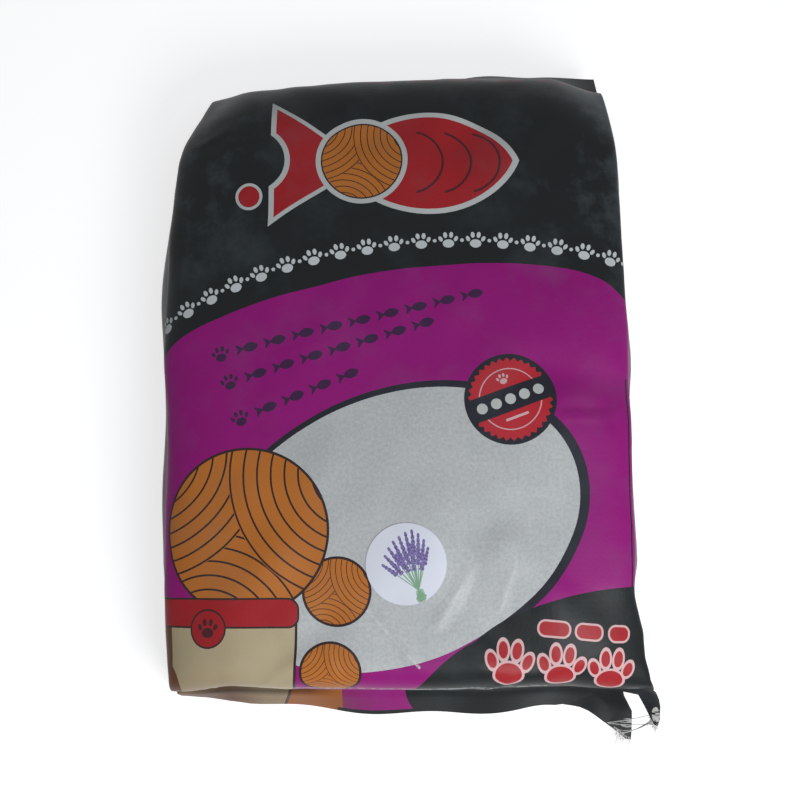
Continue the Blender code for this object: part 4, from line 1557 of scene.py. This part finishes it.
def make_label(tree):
    """A round label that follows the film under it."""
    places = [(0.0, 0.0)]
    for radius in np.linspace(0.0, LABEL_RADIUS, LABEL_RINGS + 1)[1:]:
        for turn in np.linspace(0.0, 2 * math.pi, LABEL_SIDES, endpoint=False):
            places.append((radius * math.cos(turn), radius * math.sin(turn)))
    layers = []
    for lift in (LABEL_LIFT + LABEL_THICKNESS, LABEL_LIFT):
        layers += [laid_on(tree, LABEL_CENTRE[0] + x, LABEL_CENTRE[1] + y, lift) for x, y in places]
    below = len(places)
    faces = []
    for at in range(LABEL_SIDES):
        after = (at + 1) % LABEL_SIDES
        for offset in (0, below):
            faces.append((offset, offset + 1 + at, offset + 1 + after))
            for ring in range(LABEL_RINGS - 1):
                low = offset + 1 + ring * LABEL_SIDES
                high = low + LABEL_SIDES
                faces.append((low + at, high + at, high + after, low + after))
        rim = 1 + (LABEL_RINGS - 1) * LABEL_SIDES
        faces.append((rim + at, below + rim + at, below + rim + after, rim + after))
    label = make_mesh_object("round_label", layers, faces, LABEL_SHARP_ANGLE)
    label_place = [(x, y, 0.0) for x, y in places * 2]
    keep_on_points(label, "label_place", "FLOAT_VECTOR", label_place)
    label.data.materials.append(label_material())
    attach(label, "root")
    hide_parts("scent_label")


def tube(path, radius, sides, closed):
    """Points and faces of a tube along a path."""
    path = np.asarray(path)
    if closed:
        ahead = np.roll(path, -1, axis=0) - np.roll(path, 1, axis=0)
    else:
        ahead = np.gradient(path, axis=0)
    ahead /= np.linalg.norm(ahead, axis=1)[:, None]
    aside = np.cross(ahead, TUBE_ASIDE)
    aside /= np.linalg.norm(aside, axis=1)[:, None]
    above = np.cross(aside, ahead)
    turn = np.linspace(0.0, 2 * math.pi, sides, endpoint=False)[None, :, None]
    circle = np.cos(turn) * aside[:, None, :] + np.sin(turn) * above[:, None, :]
    points = (path[:, None, :] + radius * circle).reshape(-1, 3)
    faces = tube_faces(len(path), sides)
    last = (len(path) - 1) * sides
    if closed:
        faces += [(last + at, last + (at + 1) % sides, (at + 1) % sides, at) for at in range(sides)]
    else:
        faces += [tuple(range(sides)), tuple(last + at for at in range(sides))]
    return points, faces


def joined(parts):
    """Several lists of points and faces as one."""
    points, faces = [], []
    for part_points, part_faces in parts:
        start = len(points)
        points += [tuple(point) for point in part_points]
        faces += [tuple(start + at for at in face) for face in part_faces]
    return points, faces


def thread_material():
    """Matt white spun thread with fine twist."""
    material = bpy.data.materials.new("seam_thread")
    drawing = Drawing(material)
    drawing.place = drawing.add("ShaderNodeTexCoord").outputs["Object"]
    twist = drawing.noise(*TWIST_NOISE)
    colour = drawing.blend(drawing.spread(twist, *TWIST_SPAN), *THREAD_SHADES)
    drawing.feed(drawing.shader.inputs["Base Color"], colour)
    drawing.shader.inputs["Roughness"].default_value = THREAD_ROUGHNESS
    drawing.bump(twist, *THREAD_BUMP)
    return material


def stitch_loop(end, middle, lift, front_share, shift):
    """One chain stitch as a closed loop of points lying along a seam."""
    loop = []
    for turn in np.linspace(0.0, 2 * math.pi, LOOP_POINTS, endpoint=False):
        along = middle + STITCH_LENGTH / 2 * math.cos(turn) / seam_half_width()
        taper = 1.0 - STITCH_TAPER * math.cos(turn)
        down = STITCH_SET + STITCH_WIDTH / 2 * math.sin(turn) * taper
        rise = lift * (1.0 + STITCH_SLANT * math.cos(turn))
        point = hem_points(end, np.array(along), down, rise, front_share)
        loop.append(ear_reshaped(point, front_share) + shift)
    return loop


def torn_edge_point(across, front_share, down_share):
    """A point on the torn corner's plies, at a share of the half width and of the hem's length."""
    point = hem_points(-1, np.array(across), down_share * HEM_LENGTH, 0.0, front_share)
    return ear_reshaped(point, front_share)


def loose_fibres(shift):
    """Fibres that stand out of the torn corner's raw edges, and strands that still join its two ends."""
    chance = np.random.default_rng(FIBRE_SEED)
    steps = np.linspace(0.0, 1.0, FIBRE_POINTS)[:, None]
    parts = []
    for front_share, first in FIBRE_SPANS:
        for _ in range(FIBRE_COUNT):
            across = chance.uniform(first, 1.0)
            root = torn_edge_point(across, front_share, FIBRE_ROOT)
            out = torn_edge_point(across, front_share, 1.0) - root
            out = out / np.linalg.norm(out) + chance.uniform(-FIBRE_LEAN, FIBRE_LEAN, 3)
            curl = chance.uniform(-FIBRE_CURL, FIBRE_CURL, 3)
            reach = chance.uniform(*FIBRE_REACH)
            path = root + shift + reach * (steps * out + steps**2 * curl)
            parts.append(tube(path, FIBRE_RADIUS, FIBRE_SIDES, closed=False))
    for _ in range(STRAND_COUNT):
        start, stop = (
            torn_edge_point(chance.uniform(*span), front_share, STRAND_ROOT)
            for front_share, span in enumerate(STRAND_SPANS)
        )
        slack = np.array((0.0, -chance.uniform(0.0, STRAND_SLACK), -chance.uniform(0.0, STRAND_SLACK)))
        path = start + steps * (stop - start) + 4 * steps * (1 - steps) * slack + shift
        parts.append(tube(path, STRAND_RADIUS, FIBRE_SIDES, closed=False))
    return parts


def make_stitches(name, end, shift, material):
    """A seam's chain stitches, on the hem's front and on its back."""
    half = HEM_THICKNESS / 2 + THREAD_CLEARANCE * THREAD_RADIUS
    count = round(2 * seam_half_width() / STITCH_PITCH)
    parts = []
    for middle in (np.arange(count) + 0.5) / count * 2.0 - 1.0:
        if end < 0 and middle > TORN_SEAM_START:
            continue
        for lift, front_share in ((half, 1.0), (-half, 0.0)):
            loop = stitch_loop(end, middle, lift, front_share, shift)
            parts.append(tube(loop, THREAD_RADIUS, THREAD_SIDES, closed=True))
    if end < 0:
        parts += loose_fibres(shift)
    stitches = make_mesh_object(name, *joined(parts), THREAD_SHARP_ANGLE)
    stitches.data.materials.append(material)
    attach(stitches, "root")
    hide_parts(name.replace("stitches", "thread"))


# The scene round the sack


def make_camera():
    """A camera that looks down the sack from its foot, as the photograph does."""
    data = bpy.data.cameras.new("camera")
    data.sensor_width = SENSOR_WIDTH
    data.lens = CAMERA_FOCAL_PIXELS / FRAME_PIXELS * SENSOR_WIDTH
    data.shift_x = (FRAME_PIXELS / 2 - AIM_PIXEL[0]) / FRAME_PIXELS
    data.shift_y = (AIM_PIXEL[1] - FRAME_PIXELS / 2) / FRAME_PIXELS
    camera = bpy.data.objects.new("camera", data)
    back = np.array((0.0, -math.sin(CAMERA_TILT), math.cos(CAMERA_TILT)))
    camera.location = np.array(CAMERA_AIM) + CAMERA_DISTANCE * back
    camera.rotation_euler = (CAMERA_TILT, 0.0, 0.0)
    bpy.context.scene.collection.objects.link(camera)
    bpy.context.scene.camera = camera


def make_light(name, place, size, power, colour=(1.0, 1.0, 1.0)):
    """A lamp at a place, turned to the middle of the front and hidden from the camera."""
    data = bpy.data.lights.new(name, "AREA")
    data.color = colour
    data.shape = "RECTANGLE"
    data.size, data.size_y = size
    data.energy = power
    light = bpy.data.objects.new(name, data)
    light.location = place
    toward = np.subtract(CAMERA_AIM, place)
    light.visible_camera = False
    light.rotation_euler = (
        math.atan2(math.hypot(toward[0], toward[1]), -toward[2]),
        0.0,
        math.atan2(toward[0], -toward[1]) + math.pi,
    )
    bpy.context.scene.collection.objects.link(light)


def make_floor():
    """A pale floor that the camera sees as white, and that keeps the sack's shadow."""
    mesh = bpy.data.meshes.new("floor")
    half = FLOOR_SIZE / 2
    corners = [(-half, -half, 0.0), (half, -half, 0.0), (half, half, 0.0), (-half, half, 0.0)]
    mesh.from_pydata(corners, [], [(0, 1, 2, 3)])
    floor = bpy.data.objects.new("floor", mesh)
    bpy.context.scene.collection.objects.link(floor)
    material = bpy.data.materials.new("pale_floor")
    material.use_nodes = True
    tree = material.node_tree
    shader = tree.nodes["Principled BSDF"]
    shader.inputs["Base Color"].default_value = (*FLOOR_COLOUR, 1.0)
    shader.inputs["Roughness"].default_value = FLOOR_ROUGHNESS
    shader.inputs["Emission Color"].default_value = (1.0, 1.0, 1.0, 1.0)
    tree.links.new(seen_share(tree, FLOOR_GLOW), shader.inputs["Emission Strength"])
    mesh.materials.append(material)


def seen_share(tree, strength):
    """A strength for rays from the camera and from glossy or clear surfaces, and 0 for all others."""
    path = tree.nodes.new("ShaderNodeLightPath")
    total = path.outputs["Is Camera Ray"]
    for name in ("Is Glossy Ray", "Is Transmission Ray"):
        join = tree.nodes.new("ShaderNodeMath")
        join.operation = "MAXIMUM"
        tree.links.new(total, join.inputs[0])
        tree.links.new(path.outputs[name], join.inputs[1])
        total = join.outputs[0]
    product = tree.nodes.new("ShaderNodeMath")
    product.operation = "MULTIPLY"
    tree.links.new(total, product.inputs[0])
    product.inputs[1].default_value = strength
    return product.outputs[0]


def make_world():
    """Even pale light from all round, and a white background where it is seen or mirrored."""
    world = bpy.data.worlds.new("studio")
    bpy.context.scene.world = world
    world.use_nodes = True
    tree = world.node_tree
    background = tree.nodes["Background"]
    background.inputs["Color"].default_value = (1.0, 1.0, 1.0, 1.0)
    strength = tree.nodes.new("ShaderNodeMapRange")
    strength.inputs["To Min"].default_value = WORLD_STRENGTH
    strength.inputs["To Max"].default_value = WORLD_WHITE
    tree.links.new(seen_share(tree, 1.0), strength.inputs["Value"])
    tree.links.new(strength.outputs["Result"], background.inputs["Strength"])


def main():
    """Dresses the frame's sack and sets up its scene."""
    bpy.context.scene.view_settings.view_transform = "Standard"
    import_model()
    make_camera()
    make_world()
    make_floor()
    make_light("lamp", LAMP_PLACE, LAMP_SIZE, LAMP_POWER)
    make_light("window", WINDOW_PLACE, WINDOW_SIZE, WINDOW_POWER, WINDOW_COLOUR)
    rings = sack_rings()
    shift = frame_shift(rings)
    sack = make_sack(rings, shift)
    make_label(film_tree(sack))
    thread = thread_material()
    make_stitches("bottom_seam_stitches", -1, shift, thread)
    make_stitches("top_seam_stitches", 1, shift, thread)


main()
